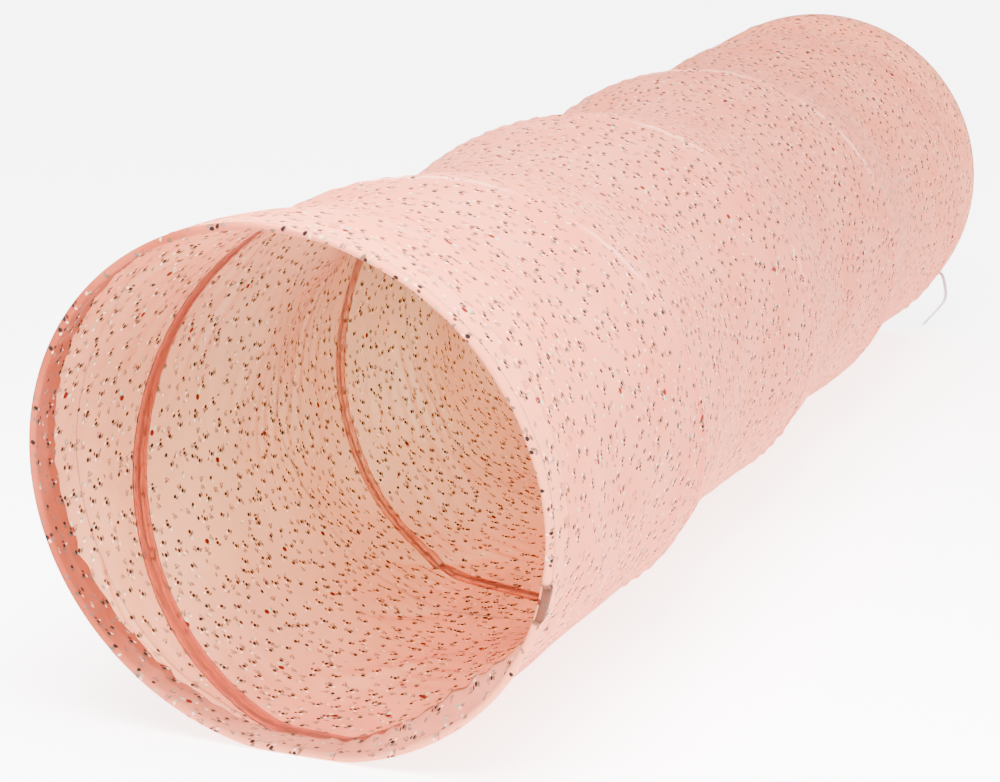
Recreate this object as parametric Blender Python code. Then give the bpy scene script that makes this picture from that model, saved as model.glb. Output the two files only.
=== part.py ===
"""A pop-up play tunnel: a light cloth tube held open by one long coil of sprung wire.

The wire runs as a round hoop at each mouth and as a helix between them, sewn to the inside of the
cloth under a band of plain tape. The cloth is turned in round each hoop as a wide hem, and a narrow
tie ribbon hangs from the far hem. Units are metres, +Z is up and the tunnel lies along +Y.

The cloth is one tube on the real tunnel. It is cut here into a collar and five bays, because the
tunnel folds flat like a concertina and each bay travels with its own stretch of the coil.
"""

import math

import bmesh
import bpy
from mathutils import Matrix, Vector

# Driving dimensions
TUNNEL_LENGTH = 1.80
HOOP_RADIUS = 0.240
COIL_SET_IN = 0.004
WAIST_DEPTH = 0.0165
RING_SEGMENTS = 36
FLAT_HALF_SEGMENTS = 1

# How the near hoop stands: it leans out at the top and sits a little to one side of the coil
HOOP_LEAN = 0.0246
HOOP_SIDE_SHIFT = 0.016
SIDE_SHIFT_FADE = 0.25
COLLAR_END = 0.070
RADIUS_FADE = 0.16

# Cloth, wire and tape
CLOTH = 0.0010
WIRE_DIAMETER = 0.0025
WIRE_SIDES = 6
SEWN_GAP = 0.0003
FACET_ALLOWANCE = 0.0017
TAPE_WIDTH = 0.021
TAPE_THICKNESS = 0.0006
TAPE_CREST_WIDTH = 0.0044
TAPE_LIFT = 0.0004

# Hems: the cloth turned in round the hoop, its inner edge sewn down
HEM_WIDTH = 0.038
HEM_POCKET = 0.0053
HEM_FOLD = 0.0012
HEM_CORNER = 0.0012

# Ferrules that join the wire's ends to the hoops
FERRULE_LENGTH = 0.031
FERRULE_WALL = 0.0008
FERRULE_PLACE_SHARE = 0.5
WIRE_SPACING = 0.0029
HOOP_END_GAP = 0.0010

# Coil: counted in ring segments, so that its corners line up with the cloth's
COIL_START_SEGMENT = 11
COIL_SEGMENTS = 155
COIL_EASE_SEGMENTS = 5

# Bays that fold, and the thickness of the folded stack of coil and cloth
BAY_COUNT = 5
BAY_ROW_COUNT = 7
COLLAR_ROW_COUNT = 2
FOLDED_STACK = 0.040

# Tie ribbon, sewn to the far hem by a small tab
RIBBON_WIDTH = 0.0060
RIBBON_THICKNESS = 0.0006
RIBBON_SEGMENT = 12.5
TAB_LENGTH = 0.016
TAB_WIDTH = 0.009
TAB_THICKNESS = 0.0012
RIBBON_ROUTE = (
    (0.0000, 0.0000, 0.0000),
    (0.0030, 0.0002, -0.0025),
    (0.0055, 0.0007, -0.0080),
    (0.0082, 0.0027, -0.0201),
    (0.0092, 0.0067, -0.0332),
    (0.0060, 0.0137, -0.0458),
    (-0.0029, 0.0237, -0.0587),
    (-0.0122, 0.0357, -0.0706),
    (-0.0222, 0.0507, -0.0826),
    (-0.0337, 0.0697, -0.0979),
)
RIBBON_STEPS = 24

COIL_RADIUS = HOOP_RADIUS - COIL_SET_IN
DEGREES_PER_SEGMENT = 360.0 / RING_SEGMENTS
FLAT_ANGLE = math.radians(FLAT_HALF_SEGMENTS * DEGREES_PER_SEGMENT)
AXIS_HEIGHT = HOOP_RADIUS * math.cos(FLAT_ANGLE)
BODY_X = HOOP_SIDE_SHIFT / 2
NEAR_Y = (HOOP_LEAN - TUNNEL_LENGTH) / 2
WIRE_RADIUS = WIRE_DIAMETER / 2
WIRE_INSET = CLOTH + HEM_POCKET / 2
HOOP_STATION = CLOTH + 2 * SEWN_GAP + WIRE_RADIUS + FERRULE_WALL
COIL_FIRST_STATION = HOOP_STATION + WIRE_SPACING
COIL_LAST_STATION = TUNNEL_LENGTH - COIL_FIRST_STATION
COIL_PITCH_STEP = (COIL_LAST_STATION - COIL_FIRST_STATION) / (COIL_SEGMENTS - COIL_EASE_SEGMENTS)
COIL_PITCH = COIL_PITCH_STEP * RING_SEGMENTS
BAY_LENGTH = (TUNNEL_LENGTH - HEM_WIDTH - SEWN_GAP - COLLAR_END) / BAY_COUNT
BAY_TRAVEL = BAY_LENGTH - FOLDED_STACK / BAY_COUNT
TAPE_STRETCH = math.hypot(1.0, COIL_PITCH / (2 * math.pi * COIL_RADIUS))


def smooth_step(share):
    """Return a share from 0 to 1 eased at both ends."""
    held = min(1.0, max(0.0, share))
    return held * held * (3.0 - 2.0 * held)


def eased_advance(segments, ease, total):
    """Return how far a coil has advanced, in steps, with a gentle start and end."""
    if segments < ease:
        return segments * segments / (2.0 * ease)
    if segments > total - ease:
        left = total - segments
        return (total - ease) - left * left / (2.0 * ease)
    return segments - ease / 2.0


def coil_station(segments):
    """Return the coil's distance from the near mouth after so many ring segments."""
    advance = eased_advance(segments, COIL_EASE_SEGMENTS, COIL_SEGMENTS)
    return COIL_FIRST_STATION + COIL_PITCH_STEP * advance


def supports(segment):
    """Return the stations between which the cloth is slack, for one angle round the ring."""
    first, last = HEM_WIDTH, TUNNEL_LENGTH - HEM_WIDTH
    stations = [first]
    turned = (segment - COIL_START_SEGMENT) % RING_SEGMENTS
    while turned <= COIL_SEGMENTS:
        station = coil_station(turned)
        if first < station < last:
            stations.append(station)
        turned += RING_SEGMENTS
    stations.append(last)
    return stations


def held_radius(station):
    """Return the radius that the wire holds the cloth out to at a station."""
    from_hem = min(station, TUNNEL_LENGTH - station) - HEM_WIDTH
    return HOOP_RADIUS - COIL_SET_IN * smooth_step(from_hem / RADIUS_FADE)


def waist(segment, station):
    """Return how far the cloth draws in between the two turns of wire beside it."""
    stations = supports(segment)
    for low, high in zip(stations, stations[1:]):
        if low <= station <= high and high > low:
            share = (station - low) / (high - low)
            slack = (high - low) / COIL_PITCH
            return WAIST_DEPTH * slack * slack * math.sin(math.pi * share) ** 2
    return 0.0


def place(segment, station, inset):
    """Return the point at an angle and a station, so far inside the cloth's outer face."""
    angle = math.radians(segment * DEGREES_PER_SEGMENT)
    radius = held_radius(station) - waist(segment, station) - inset
    lean = -HOOP_LEAN * math.cos(angle)
    faded = 1.0 - smooth_step((station - HEM_WIDTH) / (COLLAR_END - HEM_WIDTH))
    shift = HOOP_SIDE_SHIFT * (1.0 - smooth_step(station / SIDE_SHIFT_FADE))
    height = AXIS_HEIGHT + radius * math.cos(angle)
    return Vector((
        BODY_X - shift + radius * math.sin(angle),
        NEAR_Y + station + lean * faded,
        max(height, inset),
    ))


def make_material(name, colour, roughness, metallic=0.0):
    """Return a plain Principled material for a sub-part."""
    material = bpy.data.materials.new(name)
    material.use_nodes = True
    shader = material.node_tree.nodes["Principled BSDF"]
    shader.inputs["Base Color"].default_value = (*colour, 1.0)
    shader.inputs["Roughness"].default_value = roughness
    shader.inputs["Metallic"].default_value = metallic
    return material


def make_body(name, station):
    """Return the empty that carries one moving body, on the tunnel's axis."""
    empty = bpy.data.objects.new(name, None)
    empty.location = (BODY_X, NEAR_Y + station, AXIS_HEIGHT)
    bpy.context.scene.collection.objects.link(empty)
    return empty


def add_object(name, vertices, faces, material, body):
    """Return a closed solid made from corner points, carried by its body's empty."""
    mesh = bpy.data.meshes.new(name)
    mesh.from_pydata(vertices, [], faces)
    shaped = bmesh.new()
    shaped.from_mesh(mesh)
    bmesh.ops.recalc_face_normals(shaped, faces=shaped.faces)
    if shaped.calc_volume(signed=True) < 0.0:
        bmesh.ops.reverse_faces(shaped, faces=shaped.faces)
    shaped.to_mesh(mesh)
    shaped.free()
    mesh.shade_smooth()
    mesh.set_sharp_from_angle(angle=math.radians(40.0))
    mesh.materials.append(material)
    solid = bpy.data.objects.new(name, mesh)
    bpy.context.scene.collection.objects.link(solid)
    solid.parent = body
    solid.matrix_parent_inverse = Matrix.Translation(-body.location)
    return solid


def sweep(sections, closed_path):
    """Return vertices and faces of closed sections joined one to the next."""
    count = len(sections[0])
    vertices = [point for section in sections for point in section]
    joints = len(sections) if closed_path else len(sections) - 1
    faces = []
    for step in range(joints):
        here = step * count
        after = ((step + 1) % len(sections)) * count
        for corner in range(count):
            beside = (corner + 1) % count
            faces.append((here + corner, here + beside, after + beside, after + corner))
    if not closed_path:
        faces.append(tuple(range(count)))
        faces.append(tuple(range(len(vertices) - count, len(vertices))))
    return vertices, faces


def ring_sections(profile):
    """Return a profile of (station, inset) pairs, repeated all round the tunnel."""
    return [
        [place(segment, station, inset) for station, inset in profile]
        for segment in range(RING_SEGMENTS)
    ]


def round_section(centre, across, outward, radius, sides):
    """Return a round section of a wire, in the plane of two directions."""
    return [
        centre + across * (radius * math.cos(2 * math.pi * side / sides))
        + outward * (radius * math.sin(2 * math.pi * side / sides))
        for side in range(sides)
    ]


def wire_sections(stops):
    """Return round sections along a wire that passes through (segment, station) stops."""
    centres = [place(segment, station, WIRE_INSET) for segment, station in stops]
    sections = []
    for index, (segment, _) in enumerate(stops):
        before = centres[max(index - 1, 0)]
        after = centres[min(index + 1, len(centres) - 1)]
        along = (after - before).normalized()
        angle = math.radians(segment * DEGREES_PER_SEGMENT)
        outward = Vector((math.sin(angle), 0.0, math.cos(angle)))
        across = along.cross(outward).normalized()
        outward = across.cross(along).normalized()
        sections.append(round_section(centres[index], across, outward, WIRE_RADIUS, WIRE_SIDES))
    return sections


def make_hoop(name, station, ferrule_segment, material, body):
    """Make a hoop of wire whose two ends meet inside its ferrule."""
    half_gap = HOOP_END_GAP / 2 / (HOOP_RADIUS * math.radians(DEGREES_PER_SEGMENT))
    first = math.ceil(ferrule_segment)
    stops = [(ferrule_segment + half_gap, station)]
    stops += [(first + turn, station) for turn in range(RING_SEGMENTS)]
    stops.append((ferrule_segment - half_gap + RING_SEGMENTS, station))
    sections = [chord_section(segment, station) for segment, station in stops]
    add_object(name, *sweep(sections, False), material, body)


def chord_section(segment, station):
    """Return a wire's section on the straight run between two corners of the ring."""
    low = ring_wire_section(math.floor(segment), station)
    high = ring_wire_section(math.ceil(segment), station)
    share = segment - math.floor(segment)
    return [a.lerp(b, share) for a, b in zip(low, high)]


def ring_wire_section(segment, station):
    """Return a wire's round section where it crosses one angle of a ring."""
    angle = math.radians(segment * DEGREES_PER_SEGMENT)
    outward = Vector((math.sin(angle), 0.0, math.cos(angle)))
    centre = place(segment, station, WIRE_INSET)
    return round_section(centre, Vector((0.0, 1.0, 0.0)), outward, WIRE_RADIUS, WIRE_SIDES)


def make_coil(material, body):
    """Make the helical wire as one unbroken tube, and print its least gap to itself."""
    last_segment = COIL_START_SEGMENT + COIL_SEGMENTS
    turns = range(COIL_SEGMENTS + 1)
    stops = [(COIL_START_SEGMENT + FERRULE_PLACE_SHARE - 1.0, coil_station(0.0))]
    stops += [(COIL_START_SEGMENT + turned, coil_station(turned)) for turned in turns]
    stops.append((last_segment + 1.0 - FERRULE_PLACE_SHARE, coil_station(COIL_SEGMENTS)))
    sections = wire_sections(stops)
    sections[0] = chord_section(*stops[0])
    sections[-1] = chord_section(*stops[-1])
    add_object("coil_spring", *sweep(sections, False), material, body)
    centres = [place(segment, station, WIRE_INSET) for segment, station in stops]
    half_turn = RING_SEGMENTS // 2
    least = min(
        (centres[far] - centres[near]).length
        for near in range(len(centres))
        for far in range(near + half_turn, len(centres))
    )
    print(f"coil_spring: least gap to itself {(least - WIRE_DIAMETER) * 1000:.1f} mm")


def make_ferrule(name, station, near_side, ferrule_segment, material, body):
    """Make the crimped sleeve that holds a hoop's two ends and the end of the coil side by side."""
    low, high = math.floor(ferrule_segment), math.ceil(ferrule_segment)
    start, end = place(low, station, WIRE_INSET), place(high, station, WIRE_INSET)
    along = (end - start).normalized()
    side = 1.0 if near_side else -1.0
    beside = Vector((0.0, side, 0.0))
    beside = (beside - along * along.dot(beside)).normalized()
    outward = along.cross(beside).normalized()
    middle = start.lerp(end, ferrule_segment - low) + beside * (WIRE_SPACING / 2)
    bore_half = WIRE_SPACING / 2
    bore = WIRE_RADIUS + SEWN_GAP
    skin = bore + FERRULE_WALL
    sections = []
    for reach in (-FERRULE_LENGTH / 2, FERRULE_LENGTH / 2):
        for radius in (skin, bore):
            sections.append([
                middle + along * reach + beside * across + outward * height
                for across, height in slot_outline(bore_half, radius)
            ])
    outer_start, inner_start, outer_end, inner_end = sections
    vertices, faces = sweep([outer_start, outer_end, inner_end, inner_start], True)
    add_object(name, vertices, faces, material, body)


def slot_outline(half_length, radius, corners=4):
    """Return an outline with two straight sides and two round ends."""
    outline = []
    for sign, turn in ((1.0, -math.pi / 2), (-1.0, math.pi / 2)):
        for corner in range(corners + 1):
            angle = turn + math.pi * corner / corners
            across = sign * half_length + radius * math.cos(angle)
            outline.append((across, radius * math.sin(angle)))
    return outline


def make_casing(index, first, last, material, body):
    """Make one length of the plain tape that is sewn over the coil inside the cloth."""
    flange = CLOTH + SEWN_GAP + FACET_ALLOWANCE
    crest = WIRE_INSET + WIRE_RADIUS + TAPE_LIFT
    half, top = TAPE_WIDTH / 2, TAPE_CREST_WIDTH / 2
    outer = [(-half, flange), (-top, crest), (top, crest), (half, flange)]
    profile = outer + [(across, inset + TAPE_THICKNESS) for across, inset in reversed(outer)]
    sections = []
    for turned in range(first, last + 1):
        segment, station = COIL_START_SEGMENT + turned, coil_station(turned)
        sections.append([
            place(segment, station, inset) + Vector((0.0, across * TAPE_STRETCH, 0.0))
            for across, inset in profile
        ])
    end_trim = SEWN_GAP / (2 * math.pi * COIL_RADIUS / RING_SEGMENTS)
    sections[-1] = [b.lerp(a, end_trim) for a, b in zip(sections[-2], sections[-1])]
    add_object(f"casing_tape_{index}", *sweep(sections, False), material, body)


def make_cloth(name, start, end, rows, material, body):
    """Make a stretch of the cloth tube between two stations, drawn in between the turns."""
    stations = [start + (end - start) * row / rows for row in range(rows + 1)]
    profile = [(station, 0.0) for station in stations]
    profile += [(station, CLOTH) for station in reversed(stations)]
    add_object(name, *sweep(ring_sections(profile), True), material, body)


def make_hem(name, near_side, material, body):
    """Make the hem: the cloth turned in round the hoop, open where its inner edge is sewn."""
    deep = 2 * CLOTH + HEM_POCKET
    inner_fold = CLOTH + HEM_POCKET
    profile = [
        (HEM_WIDTH, 0.0),
        (HEM_CORNER, 0.0),
        (0.0, HEM_FOLD),
        (0.0, deep - HEM_FOLD),
        (HEM_CORNER, deep),
        (HEM_WIDTH, deep),
        (HEM_WIDTH, inner_fold),
        (CLOTH, inner_fold),
        (CLOTH, CLOTH),
        (HEM_WIDTH, CLOTH),
    ]
    if not near_side:
        profile = [(TUNNEL_LENGTH - station, inset) for station, inset in profile]
    add_object(name, *sweep(ring_sections(profile), True), material, body)


def ribbon_root():
    """Return where the tie ribbon leaves the far hem, and the direction out of the hem there."""
    station = TUNNEL_LENGTH - TAB_LENGTH / 2
    low, high = math.floor(RIBBON_SEGMENT), math.ceil(RIBBON_SEGMENT)
    facet = place(low, station, 0.0).lerp(place(high, station, 0.0), RIBBON_SEGMENT - low)
    normal = math.radians((low + high) / 2 * DEGREES_PER_SEGMENT)
    outward = Vector((math.sin(normal), 0.0, math.cos(normal)))
    return facet, outward


def make_tab(material, body):
    """Make the sewn tab that fixes the ribbon's end to the outside of the far hem."""
    facet, outward = ribbon_root()
    along = Vector((0.0, 1.0, 0.0))
    across = along.cross(outward)
    vertices = []
    for lift in (SEWN_GAP, SEWN_GAP + TAB_THICKNESS):
        for y, x in ((-1, -1), (1, -1), (1, 1), (-1, 1)):
            corner = along * (y * (TAB_LENGTH / 2 - SEWN_GAP)) + across * (x * TAB_WIDTH / 2)
            vertices.append(facet + outward * lift + corner)
    faces = [(0, 1, 2, 3), (4, 5, 6, 7), (0, 1, 5, 4), (1, 2, 6, 5), (2, 3, 7, 6), (3, 0, 4, 7)]
    add_object("ribbon_tab", vertices, faces, material, body)


def curve_point(points, share):
    """Return a point of the smooth curve through a list of points."""
    position = share * (len(points) - 1)
    index = min(int(position), len(points) - 2)
    local = position - index
    before = points[max(index - 1, 0)]
    here, after = points[index], points[index + 1]
    beyond = points[min(index + 2, len(points) - 1)]
    return 0.5 * (
        2 * here
        + (after - before) * local
        + (2 * before - 5 * here + 4 * after - beyond) * local**2
        + (3 * here - before - 3 * after + beyond) * local**3
    )


def make_ribbon(material, body):
    """Make the flat tie ribbon, from its tab down to the floor and a little way along it."""
    facet, outward = ribbon_root()
    start = facet + outward * (2 * SEWN_GAP + TAB_THICKNESS)
    lowest = RIBBON_THICKNESS / 2
    route = [start + Vector(step) for step in RIBBON_ROUTE]
    route = [Vector((point.x, point.y, max(point.z, lowest))) for point in route]
    centres = [curve_point(route, step / RIBBON_STEPS) for step in range(RIBBON_STEPS + 1)]
    sections = []
    for index, centre in enumerate(centres):
        before, after = centres[max(index - 1, 0)], centres[min(index + 1, RIBBON_STEPS)]
        along = (after - before).normalized()
        across = Vector((0.0, 1.0, 0.0))
        across = (across - along * along.dot(across)).normalized()
        lift = along.cross(across).normalized()
        half, thick = RIBBON_WIDTH / 2, RIBBON_THICKNESS / 2
        corners = ((-half, -thick), (half, -thick), (half, thick), (-half, thick))
        section = [centre + across * x + lift * y for x, y in corners]
        sections.append([Vector((p.x, p.y, max(p.z, 0.0))) for p in section])
    add_object("tie_ribbon", *sweep(sections, False), material, body)


def remove_everything():
    """Remove the objects that the scene starts with."""
    for existing in list(bpy.data.objects):
        bpy.data.objects.remove(existing, do_unlink=True)


def tape_clears(segment, station, reach):
    """Return whether the tape's two edges lie clear of both hems at one place on the coil."""
    y = place(segment, station, 0.0).y
    near = place(segment, HEM_WIDTH, 0.0).y
    far = place(segment, TUNNEL_LENGTH - HEM_WIDTH, 0.0).y
    return near + reach <= y <= far - reach


def casing_ranges(bay_starts):
    """Return the first and last coil segment of the tape that goes with each bay."""
    reach = TAPE_STRETCH * TAPE_WIDTH / 2 + SEWN_GAP
    inside = [
        turned for turned in range(COIL_SEGMENTS + 1)
        if tape_clears(COIL_START_SEGMENT + turned, coil_station(turned), reach)
    ]
    cuts = [inside[0]]
    for start in bay_starts[1:]:
        cuts.append(next(turned for turned in inside if coil_station(turned) >= start))
    cuts.append(inside[-1])
    return list(zip(cuts, cuts[1:]))


def build():
    """Build every sub-part on its body."""
    remove_everything()
    cloth = make_material("printed_cotton", (0.86, 0.55, 0.49), 0.9)
    hem_cloth = make_material("turned_cotton", (0.84, 0.46, 0.38), 0.9)
    tape = make_material("plain_tape", (0.78, 0.33, 0.25), 0.85)
    wire = make_material("sprung_wire", (0.55, 0.55, 0.54), 0.35, 1.0)
    sleeve = make_material("crimped_sleeve", (0.62, 0.61, 0.58), 0.4, 1.0)
    ribbon = make_material("woven_ribbon", (0.52, 0.47, 0.50), 0.7)

    bay_starts = [COLLAR_END + bay * BAY_LENGTH for bay in range(BAY_COUNT)]
    near = make_body("front_end_body", 0.0)
    turns = [make_body(f"turn_{bay}_body", bay_starts[bay]) for bay in range(1, BAY_COUNT)]
    far = make_body("rear_end_body", TUNNEL_LENGTH - HEM_WIDTH)
    bodies = [near, *turns]

    front_ferrule = COIL_START_SEGMENT - 1 + FERRULE_PLACE_SHARE
    rear_ferrule = COIL_START_SEGMENT + COIL_SEGMENTS + 1 - FERRULE_PLACE_SHARE
    rear_ferrule -= RING_SEGMENTS * math.floor(rear_ferrule / RING_SEGMENTS)

    make_hem("front_hem", True, hem_cloth, near)
    make_hoop("front_hoop", HOOP_STATION, front_ferrule, wire, near)
    make_ferrule("front_ferrule", HOOP_STATION, True, front_ferrule, sleeve, near)
    collar_start = HEM_WIDTH + SEWN_GAP
    make_cloth("cloth_collar", collar_start, COLLAR_END - SEWN_GAP, COLLAR_ROW_COUNT, cloth, near)
    make_coil(wire, near)

    for bay, start in enumerate(bay_starts):
        end = start + BAY_LENGTH - SEWN_GAP
        make_cloth(f"cloth_bay_{bay + 1}", start, end, BAY_ROW_COUNT, cloth, bodies[bay])
    for bay, (first, last) in enumerate(casing_ranges(bay_starts)):
        make_casing(bay + 1, first, last, tape, bodies[bay])

    far_hoop_station = TUNNEL_LENGTH - HOOP_STATION
    make_hem("rear_hem", False, hem_cloth, far)
    make_hoop("rear_hoop", far_hoop_station, rear_ferrule, wire, far)
    make_ferrule("rear_ferrule", far_hoop_station, False, rear_ferrule, sleeve, far)
    make_tab(ribbon, far)
    make_ribbon(ribbon, far)
    print(f"coil pitch {COIL_PITCH:.4f} m, bay {BAY_LENGTH:.4f} m, each bay's travel {BAY_TRAVEL:.4f} m")
    print(f"near mouth at y {NEAR_Y:.4f} m, axis at x {BODY_X:.4f} m and z {AXIS_HEIGHT:.5f} m")


build()
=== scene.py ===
"""Looks of a pop-up play tunnel: printed cotton over a sprung wire coil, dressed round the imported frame.

Everything is in metres, in the frame's own axes: the tunnel lies along +Y on the floor at z = 0, and the
near mouth is the one at low y. Angles round the tube start at the top and turn towards +X.
"""

import logging
import math
from dataclasses import dataclass
from enum import Enum
from typing import Iterable, Sequence

import bpy
import numpy as np
from mathutils import Matrix, Vector

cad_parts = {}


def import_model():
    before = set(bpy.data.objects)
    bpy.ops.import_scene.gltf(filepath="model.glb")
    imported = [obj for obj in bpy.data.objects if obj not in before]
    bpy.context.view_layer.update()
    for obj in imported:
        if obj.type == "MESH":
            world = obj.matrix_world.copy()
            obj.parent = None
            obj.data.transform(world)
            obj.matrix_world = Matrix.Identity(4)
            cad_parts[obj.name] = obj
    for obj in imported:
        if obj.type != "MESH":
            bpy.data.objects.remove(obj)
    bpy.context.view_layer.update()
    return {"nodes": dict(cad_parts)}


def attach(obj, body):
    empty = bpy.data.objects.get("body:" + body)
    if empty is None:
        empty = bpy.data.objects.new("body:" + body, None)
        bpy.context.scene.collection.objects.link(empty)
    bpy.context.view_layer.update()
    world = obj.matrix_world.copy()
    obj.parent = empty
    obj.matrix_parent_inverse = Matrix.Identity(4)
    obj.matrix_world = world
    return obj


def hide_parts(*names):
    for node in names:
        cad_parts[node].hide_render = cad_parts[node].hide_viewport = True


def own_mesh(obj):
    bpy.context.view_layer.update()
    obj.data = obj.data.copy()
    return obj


LOG = logging.getLogger("play_tunnel")
MM = 0.001
Array = np.ndarray
# Over this angle an edge of a pressed or folded piece stays crisp.
CRISP = math.radians(50.0)
# A motif that is left out is moved this many times its own size away.
OUT_OF_SIGHT = 5.0
# The values at the cloth's points that its colours follow; several of them place painted light and shade.
CARRIED = ("inside", "turned", "rim", "sleeve", "wire_distance", "crest", "deep", "tape_through_and_shade")


def linear(hex_colour: str) -> tuple[float, float, float, float]:
    """Turn an sRGB hex colour into the linear values that shaders take.

    Args:
        hex_colour: Six hexadecimal digits, without a mark in front.

    Returns:
        Linear red, green, blue and an alpha of one.
    """
    channels = [int(hex_colour[start:start + 2], 16) / 255.0 for start in (0, 2, 4)]
    red, green, blue = (c / 12.92 if c <= 0.04045 else ((c + 0.055) / 1.055) ** 2.4 for c in channels)
    return red, green, blue, 1.0


def smooth(share: Array) -> Array:
    """Ease a share from 0 to 1 at both its ends."""
    held = np.clip(share, 0.0, 1.0)
    return held * held * (3.0 - 2.0 * held)


def bell(offset: Array) -> Array:
    """Return a bell curve of an offset that is counted in its own widths."""
    return np.exp(-np.square(offset))


def wrapped(angle: Array) -> Array:
    """Bring angles in radians to between minus and plus half a turn."""
    return (angle + math.pi) % math.tau - math.pi


def feed(tree: bpy.types.NodeTree, node: bpy.types.Node, inputs: dict) -> None:
    """Set or link several of a node's inputs.

    Args:
        tree: The node tree that holds the node.
        node: The node that takes them.
        inputs: Input name or number to a plain value, to the socket that feeds it, or to a node whose
            first output does.
    """
    for key, value in inputs.items():
        source = value.outputs[0] if isinstance(value, bpy.types.Node) else value
        if isinstance(source, bpy.types.NodeSocket):
            tree.links.new(source, node.inputs[key])
        else:
            node.inputs[key].default_value = source


def add_node(tree: bpy.types.NodeTree, kind: str, inputs: dict | None = None, **settings) -> bpy.types.Node:
    """Add one node with its settings, plain input values and links.

    Args:
        tree: The node tree that takes the node.
        kind: The node's type name.
        inputs: What goes into it, as feed takes it.
        **settings: Properties of the node itself.

    Returns:
        The new node.
    """
    node = tree.nodes.new(kind)
    for name, value in settings.items():
        setattr(node, name, value)
    feed(tree, node, inputs or {})
    return node


class Mouth(Enum):
    """The two ends of the tunnel."""

    NEAR = "near"
    FAR = "far"

    @property
    def side(self) -> str:
        """The word that the frame's nodes use for this end."""
        return "front" if self is Mouth.NEAR else "rear"

    @property
    def body(self) -> str:
        """The frame's body at this end."""
        return f"{self.side}_end"


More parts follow.
